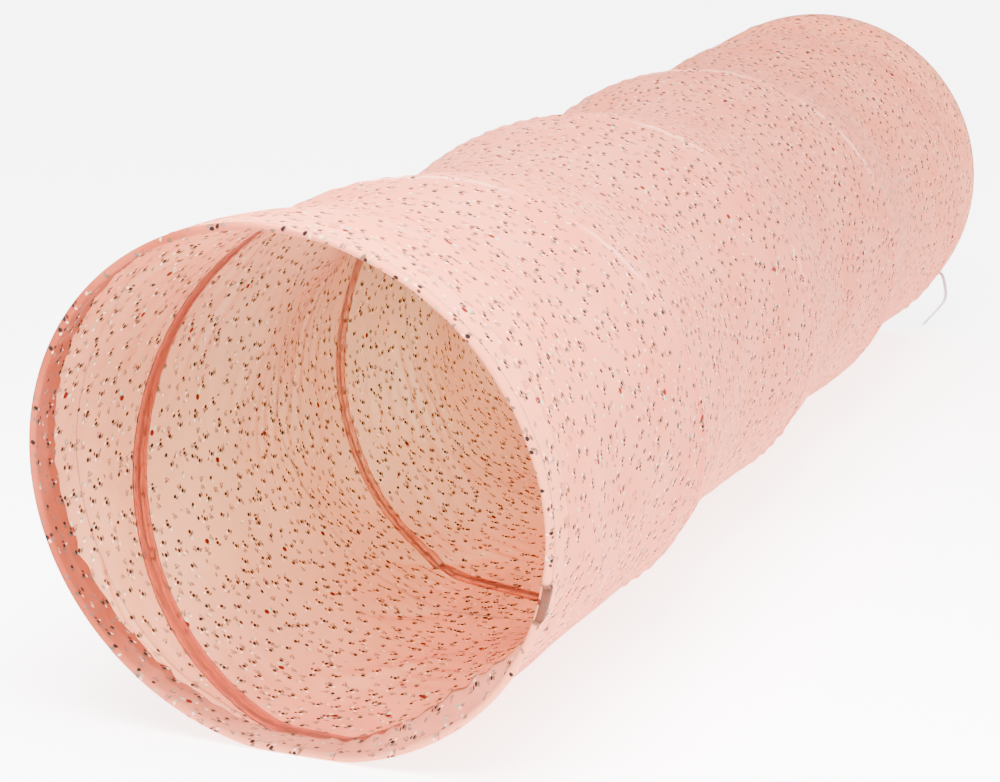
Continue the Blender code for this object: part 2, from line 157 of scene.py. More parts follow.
@dataclass(frozen=True)
class TunnelForm:
    """The tunnel's driving sizes, the same as the frame's, and the shape that follows from them."""

    length: float = 1.80
    hoop_radius: float = 0.240
    coil_set_in: float = 0.004
    waist_depth: float = 0.0165
    flat_angle: float = math.radians(10.0)
    lean: float = 0.0246
    side_shift: float = 0.016
    side_shift_fade: float = 0.25
    collar_end: float = 0.070
    radius_fade: float = 0.16
    cloth: float = 0.0009
    hem_width: float = 0.038
    wire_radius: float = 0.00125
    hoop_station: float = 0.00365
    wire_spacing: float = 0.0029
    coil_start: float = math.radians(110.0)
    coil_turns: float = 155.0 / 36.0
    coil_ease: float = 5.0 / 36.0
    bay_count: int = 5
    sewn_gap: float = 0.0003
    folded_stack: float = 0.040
    floor_softness: float = 0.0012
    depth_in_hem: float = 0.00365
    depth_in_bay: float = 0.00245
    depth_eases_from: float = 0.006
    depth_eases_over: float = 0.024
    settle: float = 0.006
    settle_fade: float = 0.12
    hang: float = 0.45

    @property
    def axis_height(self) -> float:
        """Height of the tube's axis over the floor."""
        return self.hoop_radius * math.cos(self.flat_angle)

    @property
    def body_x(self) -> float:
        """Sideways place of the coil's axis."""
        return self.side_shift / 2.0

    @property
    def near_y(self) -> float:
        """Place of the near mouth along the tunnel."""
        return (self.lean - self.length) / 2.0

    @property
    def coil_first(self) -> float:
        """Station at which the coil starts."""
        return self.hoop_station + self.wire_spacing

    @property
    def pitch(self) -> float:
        """Advance of the coil in one full turn."""
        return (self.length - 2.0 * self.coil_first) / (self.coil_turns - self.coil_ease)

    @property
    def coil_radius(self) -> float:
        """Radius of the cloth over the coil, away from the mouths."""
        return self.hoop_radius - self.coil_set_in

    @property
    def slope(self) -> float:
        """Angle of the coil to a plain ring."""
        return math.atan2(self.pitch, math.tau * self.coil_radius)

    @property
    def bay_length(self) -> float:
        """Length of one of the bays that fold."""
        return (self.length - self.hem_width - self.sewn_gap - self.collar_end) / self.bay_count

    @property
    def keep(self) -> float:
        """Share of a bay's length that is left when it is folded."""
        return self.folded_stack / self.bay_count / self.bay_length

    def from_mouth(self, station: Array) -> Array:
        """Return how far each station lies from the nearer mouth."""
        return np.minimum(station, self.length - station)

    def station_from(self, mouth: Mouth, distance: Array) -> Array:
        """Return the stations that lie so far in from one of the mouths."""
        return distance if mouth is Mouth.NEAR else self.length - distance

    def coil_station(self, turns: Array) -> Array:
        """Return the coil's distance from the near mouth after so many turns.

        Args:
            turns: Turns from the coil's start, whole and part.

        Returns:
            Stations in metres, with a gentle start and end.
        """
        ease, total = self.coil_ease, self.coil_turns
        early = np.square(turns) / (2.0 * ease)
        late = (total - ease) - np.square(total - turns) / (2.0 * ease)
        advance = np.where(turns < ease, early, np.where(turns > total - ease, late, turns - ease / 2.0))
        return self.coil_first + self.pitch * advance

    def passes(self, angle: Array) -> list[Array]:
        """Return the stations at which the coil passes each angle, in order along the tunnel.

        Args:
            angle: Angles round the tube, in radians.

        Returns:
            One array for each pass. Where the coil has ended, the value lies past the far mouth.
        """
        first = ((angle - self.coil_start) / math.tau) % 1.0
        found = []
        for whole in range(math.ceil(self.coil_turns)):
            turns = first + whole
            station = self.coil_station(np.minimum(turns, self.coil_turns))
            found.append(np.where(turns <= self.coil_turns, station, self.length * 2.0))
        return found

    def held_radius(self, station: Array) -> Array:
        """Return the radius that the wires hold the cloth out to at each station."""
        from_hem = self.from_mouth(station) - self.hem_width
        return self.hoop_radius - self.coil_set_in * smooth(from_hem / self.radius_fade)

    def wire_depth(self, station: Array) -> Array:
        """Return how deep the coil's wire lies inside the cloth's outer face."""
        out_of_hem = smooth((self.from_mouth(station) - self.depth_eases_from) / self.depth_eases_over)
        return self.depth_in_hem + (self.depth_in_bay - self.depth_in_hem) * out_of_hem

    def waist(self, angle: Array, station: Array) -> Array:
        """Return how far the cloth draws in between the two turns of wire beside each place.

        Args:
            angle: Angles round the tube.
            station: Stations along it.

        Returns:
            Depths in metres, nought inside the hems and over the wire.
        """
        first, last = self.hem_width, self.length - self.hem_width
        low = np.full(np.shape(station), first)
        high = np.full(np.shape(station), last)
        for wire in self.passes(angle):
            inside = (wire > first) & (wire < last)
            low = np.where(inside & (wire <= station), np.maximum(low, wire), low)
            high = np.where(inside & (wire > station), np.minimum(high, wire), high)
        gap = np.maximum(high - low, 1e-6)
        share = np.clip((station - low) / gap, 0.0, 1.0)
        slack = np.minimum(gap / self.pitch, 1.0)
        depth = self.waist_depth * slack**2 * np.sin(math.pi * share) ** 2 * (1.0 + self.hang * np.cos(angle))
        return np.where((station <= first) | (station >= last), 0.0, depth)

    def wire_distance(self, angle: Array, station: Array) -> Array:
        """Return the distance over the cloth from each place to the nearest line of the coil."""
        nearest = np.full(np.shape(station), self.length)
        for wire in self.passes(angle):
            nearest = np.minimum(nearest, np.abs(station - wire))
        return nearest * math.cos(self.slope)

    def leaned(self, angle: Array, station: Array) -> Array:
        """Return the y of a place, with the near hoop's lean taken up in the collar."""
        taken = (station - self.hem_width) / (self.collar_end - self.hem_width)
        return self.near_y + station - self.lean * np.cos(angle) * (1.0 - np.clip(taken, 0.0, 1.0))

    def station_at(self, angle: Array, y: Array) -> Array:
        """Return the station that lies at a y, which undoes the lean.

        Args:
            angle: Angles round the tube.
            y: Places along the tunnel.

        Returns:
            Stations in metres.
        """
        lean = self.lean * np.cos(angle)
        in_hem = y - self.near_y + lean
        taken = self.collar_end - self.hem_width
        in_collar = self.hem_width + (in_hem - self.hem_width) * taken / (taken + lean)
        return np.where(in_hem < self.hem_width, in_hem, np.where(
            in_collar < self.collar_end, in_collar, y - self.near_y))

    def points(self, angle: Array, station: Array, radius: Array, inset: Array | float = 0.0) -> Array:
        """Place points of the tube in the frame.

        Args:
            angle: Angles round the tube.
            station: Stations along it.
            radius: Radii before the inset.
            inset: Depths inside the cloth's outer face.

        Returns:
            The points, with x, y and z along the last axis, resting on the floor where they reach it.
        """
        shift = self.side_shift * (1.0 - smooth(station / self.side_shift_fade))
        reach = radius - inset
        from_hem = self.from_mouth(station) - self.hem_width
        height = self.axis_height - self.settle * smooth(from_hem / self.settle_fade) + reach * np.cos(angle)
        soft = self.floor_softness
        over = (height - inset) / soft
        eased = inset + soft * np.logaddexp(0.0, np.minimum(over, 40.0))
        height = np.where(over > 40.0, height, eased)
        across = self.body_x - shift + reach * np.sin(angle)
        return np.stack([across, self.leaned(angle, station), height], axis=-1)


@dataclass(frozen=True)
class Crease:
    """One fold of the slack cloth, from one place on the tube to another."""

    from_degrees: float
    from_station: float
    to_degrees: float
    to_station: float
    height: float
    width: float

    def rise(self, form: TunnelForm, angle: Array, station: Array) -> Array:
        """Return how far this fold lifts the cloth at each place.

        Args:
            form: The tunnel's sizes.
            angle: Angles round the tube.
            station: Stations along it.

        Returns:
            Heights in metres.
        """
        start, end = math.radians(self.from_degrees), math.radians(self.to_degrees)
        middle = (start + end) / 2.0
        radius = form.coil_radius
        u = wrapped(angle - middle) * radius
        v = station - (self.from_station + self.to_station) / 2.0
        along = np.array([(end - start) * radius, self.to_station - self.from_station])
        half = float(np.hypot(*along)) / 2.0
        along = along / (2.0 * half)
        down = u * along[0] + v * along[1]
        across = v * along[0] - u * along[1]
        ends = smooth((half - np.abs(down)) / (half * 0.6))
        return self.height * ends * bell(across / self.width)


@dataclass(frozen=True)
class ClothRelief:
    """The small shapes of the cloth: its ridge over the wire, its waves, streaks and puckers."""

    form: TunnelForm
    ridge: float = 0.0010
    ridge_width: float = 0.0026
    cusp: float = 0.0016
    cusp_width: float = 0.015
    swell: float = 0.0012
    streak: float = 0.00040
    pucker: float = 0.00050
    pucker_reach: float = 0.016
    sag: float = 0.024
    sag_angle: float = math.radians(141.0)
    sag_half_angle: float = math.radians(25.0)
    sag_from: float = 0.006
    sag_rise: float = 0.034
    sag_full: float = 0.045
    sag_fall: float = 0.13
    seam: float = 0.0006
    seam_width: float = 0.010
    seam_edge: float = 0.0015
    slack_reach: float = 0.020
    out_of_hem: float = 0.020
    hem_gather: float = 0.0005
    hem_gather_reach: float = 0.012
    streak_waves: int = 14
    seed: int = 41
    creases: tuple[Crease, ...] = (
        Crease(12.0, 0.10, 40.0, 0.19, 0.0016, 0.006),
        Crease(20.0, 0.30, 52.0, 0.37, -0.0014, 0.008),
        Crease(205.0, 0.30, 178.0, 0.47, 0.0040, 0.012),
        Crease(215.0, 0.42, 190.0, 0.60, 0.0030, 0.010),
        Crease(196.0, 0.16, 170.0, 0.30, -0.0030, 0.012),
    )

    def waves(self, phase_u: Array, phase_v: Array, u_range: tuple[int, int], v_range: tuple[float, float],
              count: int, seed: int) -> Array:
        """Sum plain waves with drawn directions into an even random surface.

        Args:
            phase_u: Angle round the tube, so whole counts close on themselves.
            phase_v: Phase along the other way, in radians for each unit.
            u_range: Least and most waves round the tube.
            v_range: Least and most waves in one unit of the other way.
            count: How many waves are summed.
            seed: Seed of the draw.

        Returns:
            Values with a spread of about one.
        """
        draw = np.random.default_rng(self.seed + seed)
        total = np.zeros(np.broadcast(phase_u, phase_v).shape)
        for _ in range(count):
            k = draw.integers(u_range[0], u_range[1] + 1) * draw.choice((-1, 1))
            w = draw.uniform(*v_range)
            total += np.cos(k * phase_u + w * phase_v + draw.uniform(0.0, math.tau))
        return total * math.sqrt(2.0 / count)

    def streaks(self, angle: Array, station: Array) -> Array:
        """Return streaks that run round the tube beside the coil, in patches.

        Args:
            angle: Angles round the tube.
            station: Stations along it.

        Returns:
            Values with a spread of about one.
        """
        turn = math.tau * station / self.form.pitch - angle
        bent = turn + 0.16 * self.waves(angle, station, (1, 4), (5.0, 16.0), 6, 5)
        draw = np.random.default_rng(self.seed + 7)
        total = np.zeros(np.shape(turn))
        for _ in range(self.streak_waves):
            fine = draw.integers(5, 22)
            aside = draw.integers(-9, 10)
            total += np.cos(fine * bent + aside * angle + draw.uniform(0.0, math.tau))
        patch = self.waves(angle, station, (1, 5), (4.0, 22.0), 8, 3)
        return total * math.sqrt(2.0 / self.streak_waves) * smooth(0.35 + 0.6 * patch)

    def sagging(self, angle: Array, station: Array) -> Array:
        """Return how far the slack cloth hangs in at the lower right of the near mouth."""
        round_it = bell(wrapped(angle - self.sag_angle) / self.sag_half_angle)
        rise = smooth((station - self.sag_from) / self.sag_rise)
        fall = 1.0 - smooth((station - self.sag_full) / self.sag_fall)
        return self.sag * round_it * rise * fall

    def outward(self, angle: Array, station: Array) -> Array:
        """Return how far the real cloth stands out from its plain form at each place.

        Args:
            angle: Angles round the tube.
            station: Stations along it.

        Returns:
            Heights in metres, out positive.
        """
        form = self.form
        distance = form.wire_distance(angle, station)
        from_hem = form.from_mouth(station) - form.hem_width
        inside = smooth(from_hem / self.out_of_hem)
        over_wire = self.ridge * bell(distance / self.ridge_width)
        over_wire = over_wire + self.cusp * np.exp(-distance / self.cusp_width)
        free = 1.0 - np.exp(-distance / self.slack_reach)
        swell = self.swell * self.waves(angle, station, (2, 9), (8.0, 36.0), 18, 1) * free
        streaks = self.streak * self.streaks(angle, station) * free
        gathers = self.waves(angle, station, (44, 96), (-30.0, 30.0), 12, 2)
        puckers = self.pucker * gathers * np.exp(-distance / self.pucker_reach)
        folds = sum(crease.rise(form, angle, station) for crease in self.creases)
        from_seam = np.abs(wrapped(angle - math.pi)) * form.coil_radius
        seam = self.seam * (1.0 - smooth((from_seam - self.seam_width / 2.0) / self.seam_edge))
        hem_gathers = self.hem_gather * self.waves(angle, station, (30, 70), (-20.0, 20.0), 10, 4)
        at_hem = hem_gathers * np.exp(-np.abs(from_hem) / self.hem_gather_reach)
        raised = inside * (over_wire + swell + streaks + puckers + folds)
        return raised + seam + at_hem - self.sagging(angle, station)

    def over_wire_painted_light(self, angle: Array, station: Array) -> tuple[Array, Array]:
        """Return the painted highlight on the crest over the wire, and how far the tape's colour comes through
        beside it, with painted shade.

        Args:
            angle: Angles round the tube.
            station: Stations along it.

        Returns:
            Two shares: the crest's painted highlight, strongest on top, and the tape's colour with painted
                shade, strongest on the sides and underneath.
        """
        patch = smooth(0.5 + 0.7 * self.waves(angle, station, (2, 7), (2.0, 9.0), 8, 6))
        # Painted highlight: the crest is lighter towards the top of the tube, where the light falls; the tape's
        # painted shade grows away from the top.
        top = smooth((np.cos(angle) + 0.15) / 0.75)
        return 0.20 * top * patch**2, (0.05 + 0.24 * (1.0 - top)) * (0.6 + 0.4 * patch)

    def radius(self, angle: Array, station: Array) -> Array:
        """Return the radius of the cloth's outer face at each place."""
        form = self.form
        return form.held_radius(station) - form.waist(angle, station) + self.outward(angle, station)


def mesh_object(name: str, points: Array, faces: Array | list[tuple[int, ...]],
                edges: Sequence[tuple[int, int]] = ()) -> bpy.types.Object:
    """Make a smooth mesh object at the origin.

    Args:
        name: Name of the piece.
        points: Corner points, in any grid.
        faces: Corner numbers of each face, wound so that it faces outwards.
        edges: Point numbers of each bare edge.

    Returns:
        The linked object.
    """
    mesh = bpy.data.meshes.new(name)
    listed = faces.tolist() if isinstance(faces, Array) else faces
    mesh.from_pydata(np.asarray(points).reshape(-1, 3).tolist(), edges, listed)
    mesh.shade_smooth()
    made = bpy.data.objects.new(name, mesh)
    bpy.context.scene.collection.objects.link(made)
    return made


def set_uv(piece: bpy.types.Object, corner_uv: Array) -> None:
    """Give a piece its flat cloth coordinates, in metres, corner by corner."""
    layer = piece.data.uv_layers.new(name="cloth")
    layer.data.foreach_set("uv", np.asarray(corner_uv, np.float32).ravel())


def set_uv_by_point(piece: bpy.types.Object, point_uv: Array) -> None:
    """Give a piece its flat cloth coordinates, in metres, from one pair for each of its points."""
    corners = np.empty(len(piece.data.loops), np.int32)
    piece.data.loops.foreach_get("vertex_index", corners)
    set_uv(piece, np.asarray(point_uv).reshape(-1, 2)[corners])


def set_values(piece: bpy.types.Object, values: dict[str, Array | float]) -> None:
    """Give a piece named values at its points, each an array or one number for all of them."""
    for name, value in values.items():
        flat = np.empty(len(piece.data.vertices), np.float32)
        flat[:] = np.ravel(value)
        piece.data.attributes.new(name, "FLOAT", "POINT").data.foreach_set("value", flat)


def grid_normals(points: Array) -> Array:
    """Return outward normals of a grid that closes on itself along its second way.

    Args:
        points: Rows by columns by three.

    Returns:
        Unit normals of the same shape.
    """
    round_it = np.roll(points, -1, axis=1) - np.roll(points, 1, axis=1)
    along = np.gradient(points, axis=0)
    normals = np.cross(round_it, along)
    return normals / np.linalg.norm(normals, axis=-1, keepdims=True)


def ring_faces(starts: Array, columns: int, inward: bool = False, quads: bool = False) -> tuple[Array, Array]:
    """Return the faces between rings of points, and the unrolled column of each of their corners.

    The long side of each pair of triangles follows the coil, so that the ridge stays unbroken.

    Args:
        starts: Number of each ring's first point, in order.
        columns: Points of each ring.
        inward: Whether the faces look inside.
        quads: Whether the faces stay whole instead of being cut in triangles.

    Returns:
        Corner numbers, and the same corners' columns before they wrap round.
    """
    ring, column = np.meshgrid(np.arange(len(starts) - 1), np.arange(columns), indexing="ij")
    corners = ((ring, column), (ring, column + 1), (ring + 1, column + 1), (ring + 1, column))
    pattern = [(0, 1, 2, 3)] if quads else [(0, 1, 2), (0, 2, 3)]
    if inward:
        pattern = [face[::-1] for face in pattern]
    picked = np.stack([
        np.stack([np.stack(corners[corner], axis=-1) for corner in face], axis=-2) for face in pattern
    ], axis=2).reshape(-1, len(pattern[0]), 2)
    return starts[picked[..., 0]] + picked[..., 1] % columns, picked[..., 1]


def swept_faces(steps: int, corners: int, strip: bool = False) -> list[tuple[int, ...]]:
    """Return the faces of a ring of points that is swept along a path and closed at both ends.

    Args:
        steps: Rings along the path.
        corners: Points of each ring.
        strip: Whether the ring is that of a thin strip, whose ends are closed from face to face.

    Returns:
        Corner numbers of each face.
    """
    last = (steps - 1) * corners
    faces = []
    for start in range(0, last, corners):
        for corner in range(corners):
            a, b = start + corner, start + (corner + 1) % corners
            faces.append((a, b, b + corners, a + corners))
    if not strip:
        return faces + [tuple(range(corners))[::-1], tuple(range(last, last + corners))]
    for index in range(corners // 2 - 1):
        mirror = corners - 1 - index
        faces.append((index + 1, index, mirror, mirror - 1))
        faces.append((last + index, last + index + 1, last + mirror - 1, last + mirror))
    return faces


class MotifShape(Enum):
    """The little printed shapes."""

    OVAL = "oval"
    LEAF = "leaf"


@dataclass(frozen=True)
class Motif:
    """One scattered shape of the print, with its sizes in millimetres."""

    colour: str
    cell: float
    half_width: float
    half_length: float
    kept: float
    strength: float = 1.0
    shape: MotifShape = MotifShape.OVAL
    aside: tuple[float, float] = (0.0, 0.0)
    turn: float = math.pi
    start: float = 0.0
    opaque: bool = False
    scatter: float = 0.86
    edge: tuple[float, float] = (1.15, 0.80)

    def mask(self, tree: bpy.types.NodeTree, cloth: bpy.types.NodeSocket) -> bpy.types.NodeSocket:
        """Draw the shape's mask.

        Args:
            tree: The material's node tree.
            cloth: Flat cloth coordinates in metres.

        Returns:
            A value from nought to the motif's strength.
        """
        moved = add_node(tree, "ShaderNodeVectorMath", {0: cloth, 1: (self.start, self.start * 0.7, 0.0)},
                         operation="ADD")
        cells = add_node(tree, "ShaderNodeTexVoronoi",
                         {"Vector": moved, "Scale": 1.0 / (self.cell * MM), "Randomness": self.scatter},
                         voronoi_dimensions="2D", feature="F1")
        drawn = add_node(tree, "ShaderNodeSeparateColor", {0: cells.outputs["Color"]})
        offset = add_node(tree, "ShaderNodeVectorMath", {0: moved, 1: cells.outputs["Position"]},
                          operation="SUBTRACT")
        angle = add_node(tree, "ShaderNodeMath", {0: drawn, 1: self.turn}, operation="MULTIPLY")
        turned = add_node(tree, "ShaderNodeVectorRotate", {"Vector": offset, "Angle": angle},
                          rotation_type="Z_AXIS")
        beside = add_node(tree, "ShaderNodeVectorMath",
                          {0: turned, 1: (self.aside[0] * MM, self.aside[1] * MM, 0.0)}, operation="SUBTRACT")
        scale = (1.0 / (self.half_width * MM), 1.0 / (self.half_length * MM), 0.0)
        scaled = add_node(tree, "ShaderNodeVectorMath", {0: beside, 1: scale}, operation="MULTIPLY")
        if self.shape is MotifShape.LEAF:
            parts = add_node(tree, "ShaderNodeSeparateXYZ", {0: scaled})
            wide = add_node(tree, "ShaderNodeMath", {0: parts}, operation="ABSOLUTE")
            reach = add_node(tree, "ShaderNodeMath", {0: parts.outputs[1], 1: parts.outputs[1], 2: wide},
                             operation="MULTIPLY_ADD").outputs[0]
        else:
            reach = add_node(tree, "ShaderNodeVectorMath", {0: scaled}, operation="LENGTH").outputs["Value"]
        left_out = add_node(tree, "ShaderNodeMath", {0: drawn.outputs[1], 1: self.kept},
                            operation="GREATER_THAN")
        far = add_node(tree, "ShaderNodeMath", {0: left_out, 1: OUT_OF_SIGHT, 2: reach},
                       operation="MULTIPLY_ADD")
        return add_node(tree, "ShaderNodeMapRange",
                        {"Value": far, "From Min": self.edge[0], "From Max": self.edge[1], "To Min": 0.0,
                         "To Max": self.strength}, clamp=True).outputs[0]


LEAF, OVAL = MotifShape.LEAF, MotifShape.OVAL
DITSY_PRINT: tuple[Motif, ...] = (
    Motif("FFE6D2", 20.0, 1.2, 2.0, 0.40, 0.30, LEAF, turn=2.6, start=3.19),
    Motif("6E7C62", 20.0, 1.15, 2.5, 0.50, 0.85, LEAF, (2.6, 1.8), turn=2.6, start=3.19, opaque=True),
    Motif("5C4640", 15.5, 1.3, 2.9, 0.74, 0.85, LEAF, turn=2.2, start=1.73, opaque=True),
    Motif("67504A", 15.5, 1.1, 2.5, 0.55, 0.85, LEAF, (2.7, 0.9), turn=2.2, start=1.73, opaque=True),
    Motif("8E2E20", 15.5, 1.05, 1.3, 0.48, 0.8, OVAL, (0.6, 3.8), turn=2.2, start=1.73, opaque=True),
    Motif("464334", 18.5, 1.35, 3.1, 0.78, 0.9, LEAF, (-3.0, 1.0), turn=1.7, start=4.57, opaque=True),
    Motif("FFE9D6", 18.5, 1.1, 1.9, 0.55, 0.36, LEAF, (1.4, -3.8), turn=1.7, start=4.57),
    Motif("1E1514", 18.5, 1.75, 2.3, 0.86, 1.0, OVAL, turn=1.7, start=4.57, opaque=True),
    Motif("281D1B", 18.5, 1.3, 1.9, 0.50, 0.95, OVAL, (3.7, 1.5), turn=1.7, start=4.57, opaque=True),
    Motif("7FA78B", 92.0, 1.9, 3.3, 0.85, 0.8, LEAF, (-1.5, 5.2), turn=2.2, start=6.29),
    Motif("5A0E0C", 92.0, 2.9, 3.1, 0.85, 1.0, OVAL, turn=2.2, start=6.29, opaque=True),
)


def band_scale(pitch: float) -> float:
    """Return the scale at which a wave texture's bands lie a pitch in millimetres apart."""
    return 1.0 / (pitch * MM) / 20.0


def new_material(name: str) -> tuple[bpy.types.Material, bpy.types.NodeTree, bpy.types.Node]:
    """Make a material and return it with its node tree and its one shader."""
    material = bpy.data.materials.new(name)
    material.use_nodes = True
    tree = material.node_tree
    return material, tree, tree.nodes["Principled BSDF"]


@dataclass(frozen=True)
class PrintedCotton:
    """Thin plain-woven cotton with a small scattered print, which lets some light through, with painted light
    and shade in its colour.
    """

    name: str = "printed_cotton"
    outer: str = "C85E49"
    inner: str = "964B3E"
    # Painted light: the inside turns to this lighter colour away from the mouths, in place of light that comes
    # through the cloth.
    deep: str = "BC7E75"
    faded: str = "D07A66"
    # The tape's own colour showing through the thin cloth, with painted shade where the tape blocks the light
    # coming through.
    coral: str = "B8402A"
    # Painted light and shade of the turned-in hem: darker and redder where light comes through it from behind.
    folded: str = "8E3C27"
    # Painted highlight on the crest over the wire; also the tint of the real sheen.
    crest_highlight_and_sheen: str = "FFDCC6"
    # Near black for the painted shade in the hem's grooves, folds and pleats.
    rim: str = "241B11"
    # Painted shade where the steel sleeve lies under the cloth and blocks the light coming through.
    sleeve: str = "4A291F"
    light_depth: float = 0.05
    light_share: float = 0.36
    shadow_share: float = 0.88
    tape_edge: tuple[float, float] = (0.0118, 0.0094)
    crest_edge: tuple[float, float] = (0.0075, 0.0010)
    wire_shadow: tuple[float, float] = (0.0042, 0.0018)
    crease_edge: float = 0.0024
    patch_scale: float = 14.0
    # Millimetres. Real threads lie about 0.3 mm apart, too fine to show, so the weave is drawn coarser.
    thread_pitch: float = 1.1
    motifs: tuple[Motif, ...] = DITSY_PRINT

    def make(self) -> bpy.types.Material:
        """Build the material: dye, the tape's colour through the cloth with painted shade, a painted highlight
        on the crest, painted light on the inside, print, painted shade in the hem's folds and over the sleeve,
        weave and creases.
        """
        material, tree, shader = new_material(self.name)
        cloth = add_node(tree, "ShaderNodeUVMap", uv_map="cloth").outputs[0]
        carried = {name: add_node(tree, "ShaderNodeAttribute", attribute_name=name).outputs["Fac"]
                   for name in CARRIED}
        distance = carried["wire_distance"]
        # Inner face, painted lighter deep in the tube.
        inner_face_lit_deep = add_node(tree, "ShaderNodeMix",
                          {0: carried["deep"], 6: linear(self.inner), 7: linear(self.deep)}, data_type="RGBA")
        patches = add_node(tree, "ShaderNodeTexNoise",
                           {"Vector": cloth, "Scale": self.patch_scale, "Detail": 3.0}, noise_dimensions="2D")
        dye = add_node(tree, "ShaderNodeMapRange",
                       {"Value": patches, "From Min": 0.3, "From Max": 0.75, "To Max": 0.35})
        # The tape's colour through the cloth, with painted shade, stronger on the sides and underneath.
        under = add_node(tree, "ShaderNodeMapRange",
                         {"Value": distance, "From Min": self.tape_edge[0], "From Max": self.tape_edge[1],
                          "To Max": carried["tape_through_and_shade"]})
        # Painted highlight along the crest over the wire.
        crest = add_node(tree, "ShaderNodeMapRange",
                         {"Value": distance, "From Min": self.crest_edge[0], "From Max": self.crest_edge[1],
                          "To Max": carried["crest"]}, interpolation_type="SMOOTHSTEP")
        masks = [motif.mask(tree, cloth) for motif in self.motifs]
        # Painted light and shade among the layers: the lighter inner face deep in, the tape's shade, the
        # crest's highlight, the turned-in hem, the sleeve and the near-black strokes.
        layers = [
            (carried["inside"], inner_face_lit_deep.outputs[2]), (dye, linear(self.faded)), (under, linear(self.coral)),
            (crest, linear(self.crest_highlight_and_sheen)), (carried["turned"], linear(self.folded)),
            *((mask, linear(motif.colour)) for motif, mask in zip(self.motifs, masks)),
            (carried["sleeve"], linear(self.sleeve)), (carried["rim"], linear(self.rim)),
        ]
        colour = linear(self.outer)
        for share, above in layers:
            colour = add_node(tree, "ShaderNodeMix", {0: share, 6: colour, 7: above},
                              data_type="RGBA").outputs[2]
        feed(tree, shader, {
            "Base Color": colour, "Roughness": 0.82, "Sheen Weight": 0.02,
            "Sheen Tint": linear(self.crest_highlight_and_sheen), "Sheen Roughness": 0.45,
            "Subsurface Weight": self.light_through(tree, carried, masks),
            "Subsurface Scale": self.light_depth, "Subsurface Radius": (1.0, 0.26, 0.15),
            "Specular IOR Level": 0.05, "Normal": self.bumps(tree, cloth, distance),
        })
        return material

    def light_through(self, tree: bpy.types.NodeTree, carried: dict[str, bpy.types.NodeSocket],
                      masks: Sequence[bpy.types.NodeSocket]) -> bpy.types.Node:
        """Let light through the cloth, but not where a wire, a sleeve or dark ink is in its way.

        Args:
            tree: The material's node tree.
            carried: The values that the cloth carries at its points.
            masks: The mask of each motif.

        Returns:
            The share of light that comes through.
        """
        over_wire = add_node(tree, "ShaderNodeMapRange",
                             {"Value": carried["wire_distance"], "From Min": self.wire_shadow[0],
                              "From Max": self.wire_shadow[1]}, interpolation_type="SMOOTHSTEP")
        outside = add_node(tree, "ShaderNodeMath", {0: 1.0, 1: carried["inside"]}, operation="SUBTRACT")
        stopped = add_node(tree, "ShaderNodeMath", {0: over_wire, 1: outside}, operation="MULTIPLY")
        inked = [mask for motif, mask in zip(self.motifs, masks) if motif.opaque]
        for share in (carried["sleeve"], *inked):
            stopped = add_node(tree, "ShaderNodeMath", {0: stopped, 1: share}, operation="MAXIMUM")
        return add_node(tree, "ShaderNodeMath",
                        {0: stopped, 1: -self.shadow_share * self.light_share, 2: self.light_share},
                        operation="MULTIPLY_ADD")

    def bumps(self, tree: bpy.types.NodeTree, cloth: bpy.types.NodeSocket,
              distance: bpy.types.NodeSocket) -> bpy.types.NodeSocket:
        """Raise the weave, the crinkles along the coil and the crease over the wire.

        Args:
            tree: The material's node tree.
            cloth: Flat cloth coordinates in metres.
            distance: Distance to the coil's line.

        Returns:
            The bumped normal.
        """
        bands = {"Vector": cloth, "Scale": band_scale(self.thread_pitch), "Distortion": 0.4, "Detail": 1.0}
        threads = [add_node(tree, "ShaderNodeTexWave", bands, bands_direction=direction).outputs["Fac"]
                   for direction in ("X", "Y")]
        weave = add_node(tree, "ShaderNodeMath", dict(enumerate(threads)), operation="MULTIPLY")
        slant = add_node(tree, "ShaderNodeMapping",
                         {"Vector": cloth, "Rotation": (0.0, 0.0, -0.28), "Scale": (22.0, 70.0, 1.0)})
        crinkle = add_node(tree, "ShaderNodeTexNoise", {"Vector": slant, "Scale": 1.0, "Detail": 4.0},
                           noise_dimensions="2D")
        crease = add_node(tree, "ShaderNodeMapRange",
                          {"Value": distance, "From Min": self.crease_edge, "From Max": 0.0, "To Max": 1.0})
        first = add_node(tree, "ShaderNodeBump", {"Strength": 0.16, "Distance": 0.0008, "Height": crinkle})
        second = add_node(tree, "ShaderNodeBump",
                          {"Strength": 0.10, "Distance": 0.0002, "Height": weave, "Normal": first})
        return add_node(tree, "ShaderNodeBump",
                        {"Strength": 0.2, "Distance": 0.0005, "Height": crease, "Normal": second}).outputs[0]


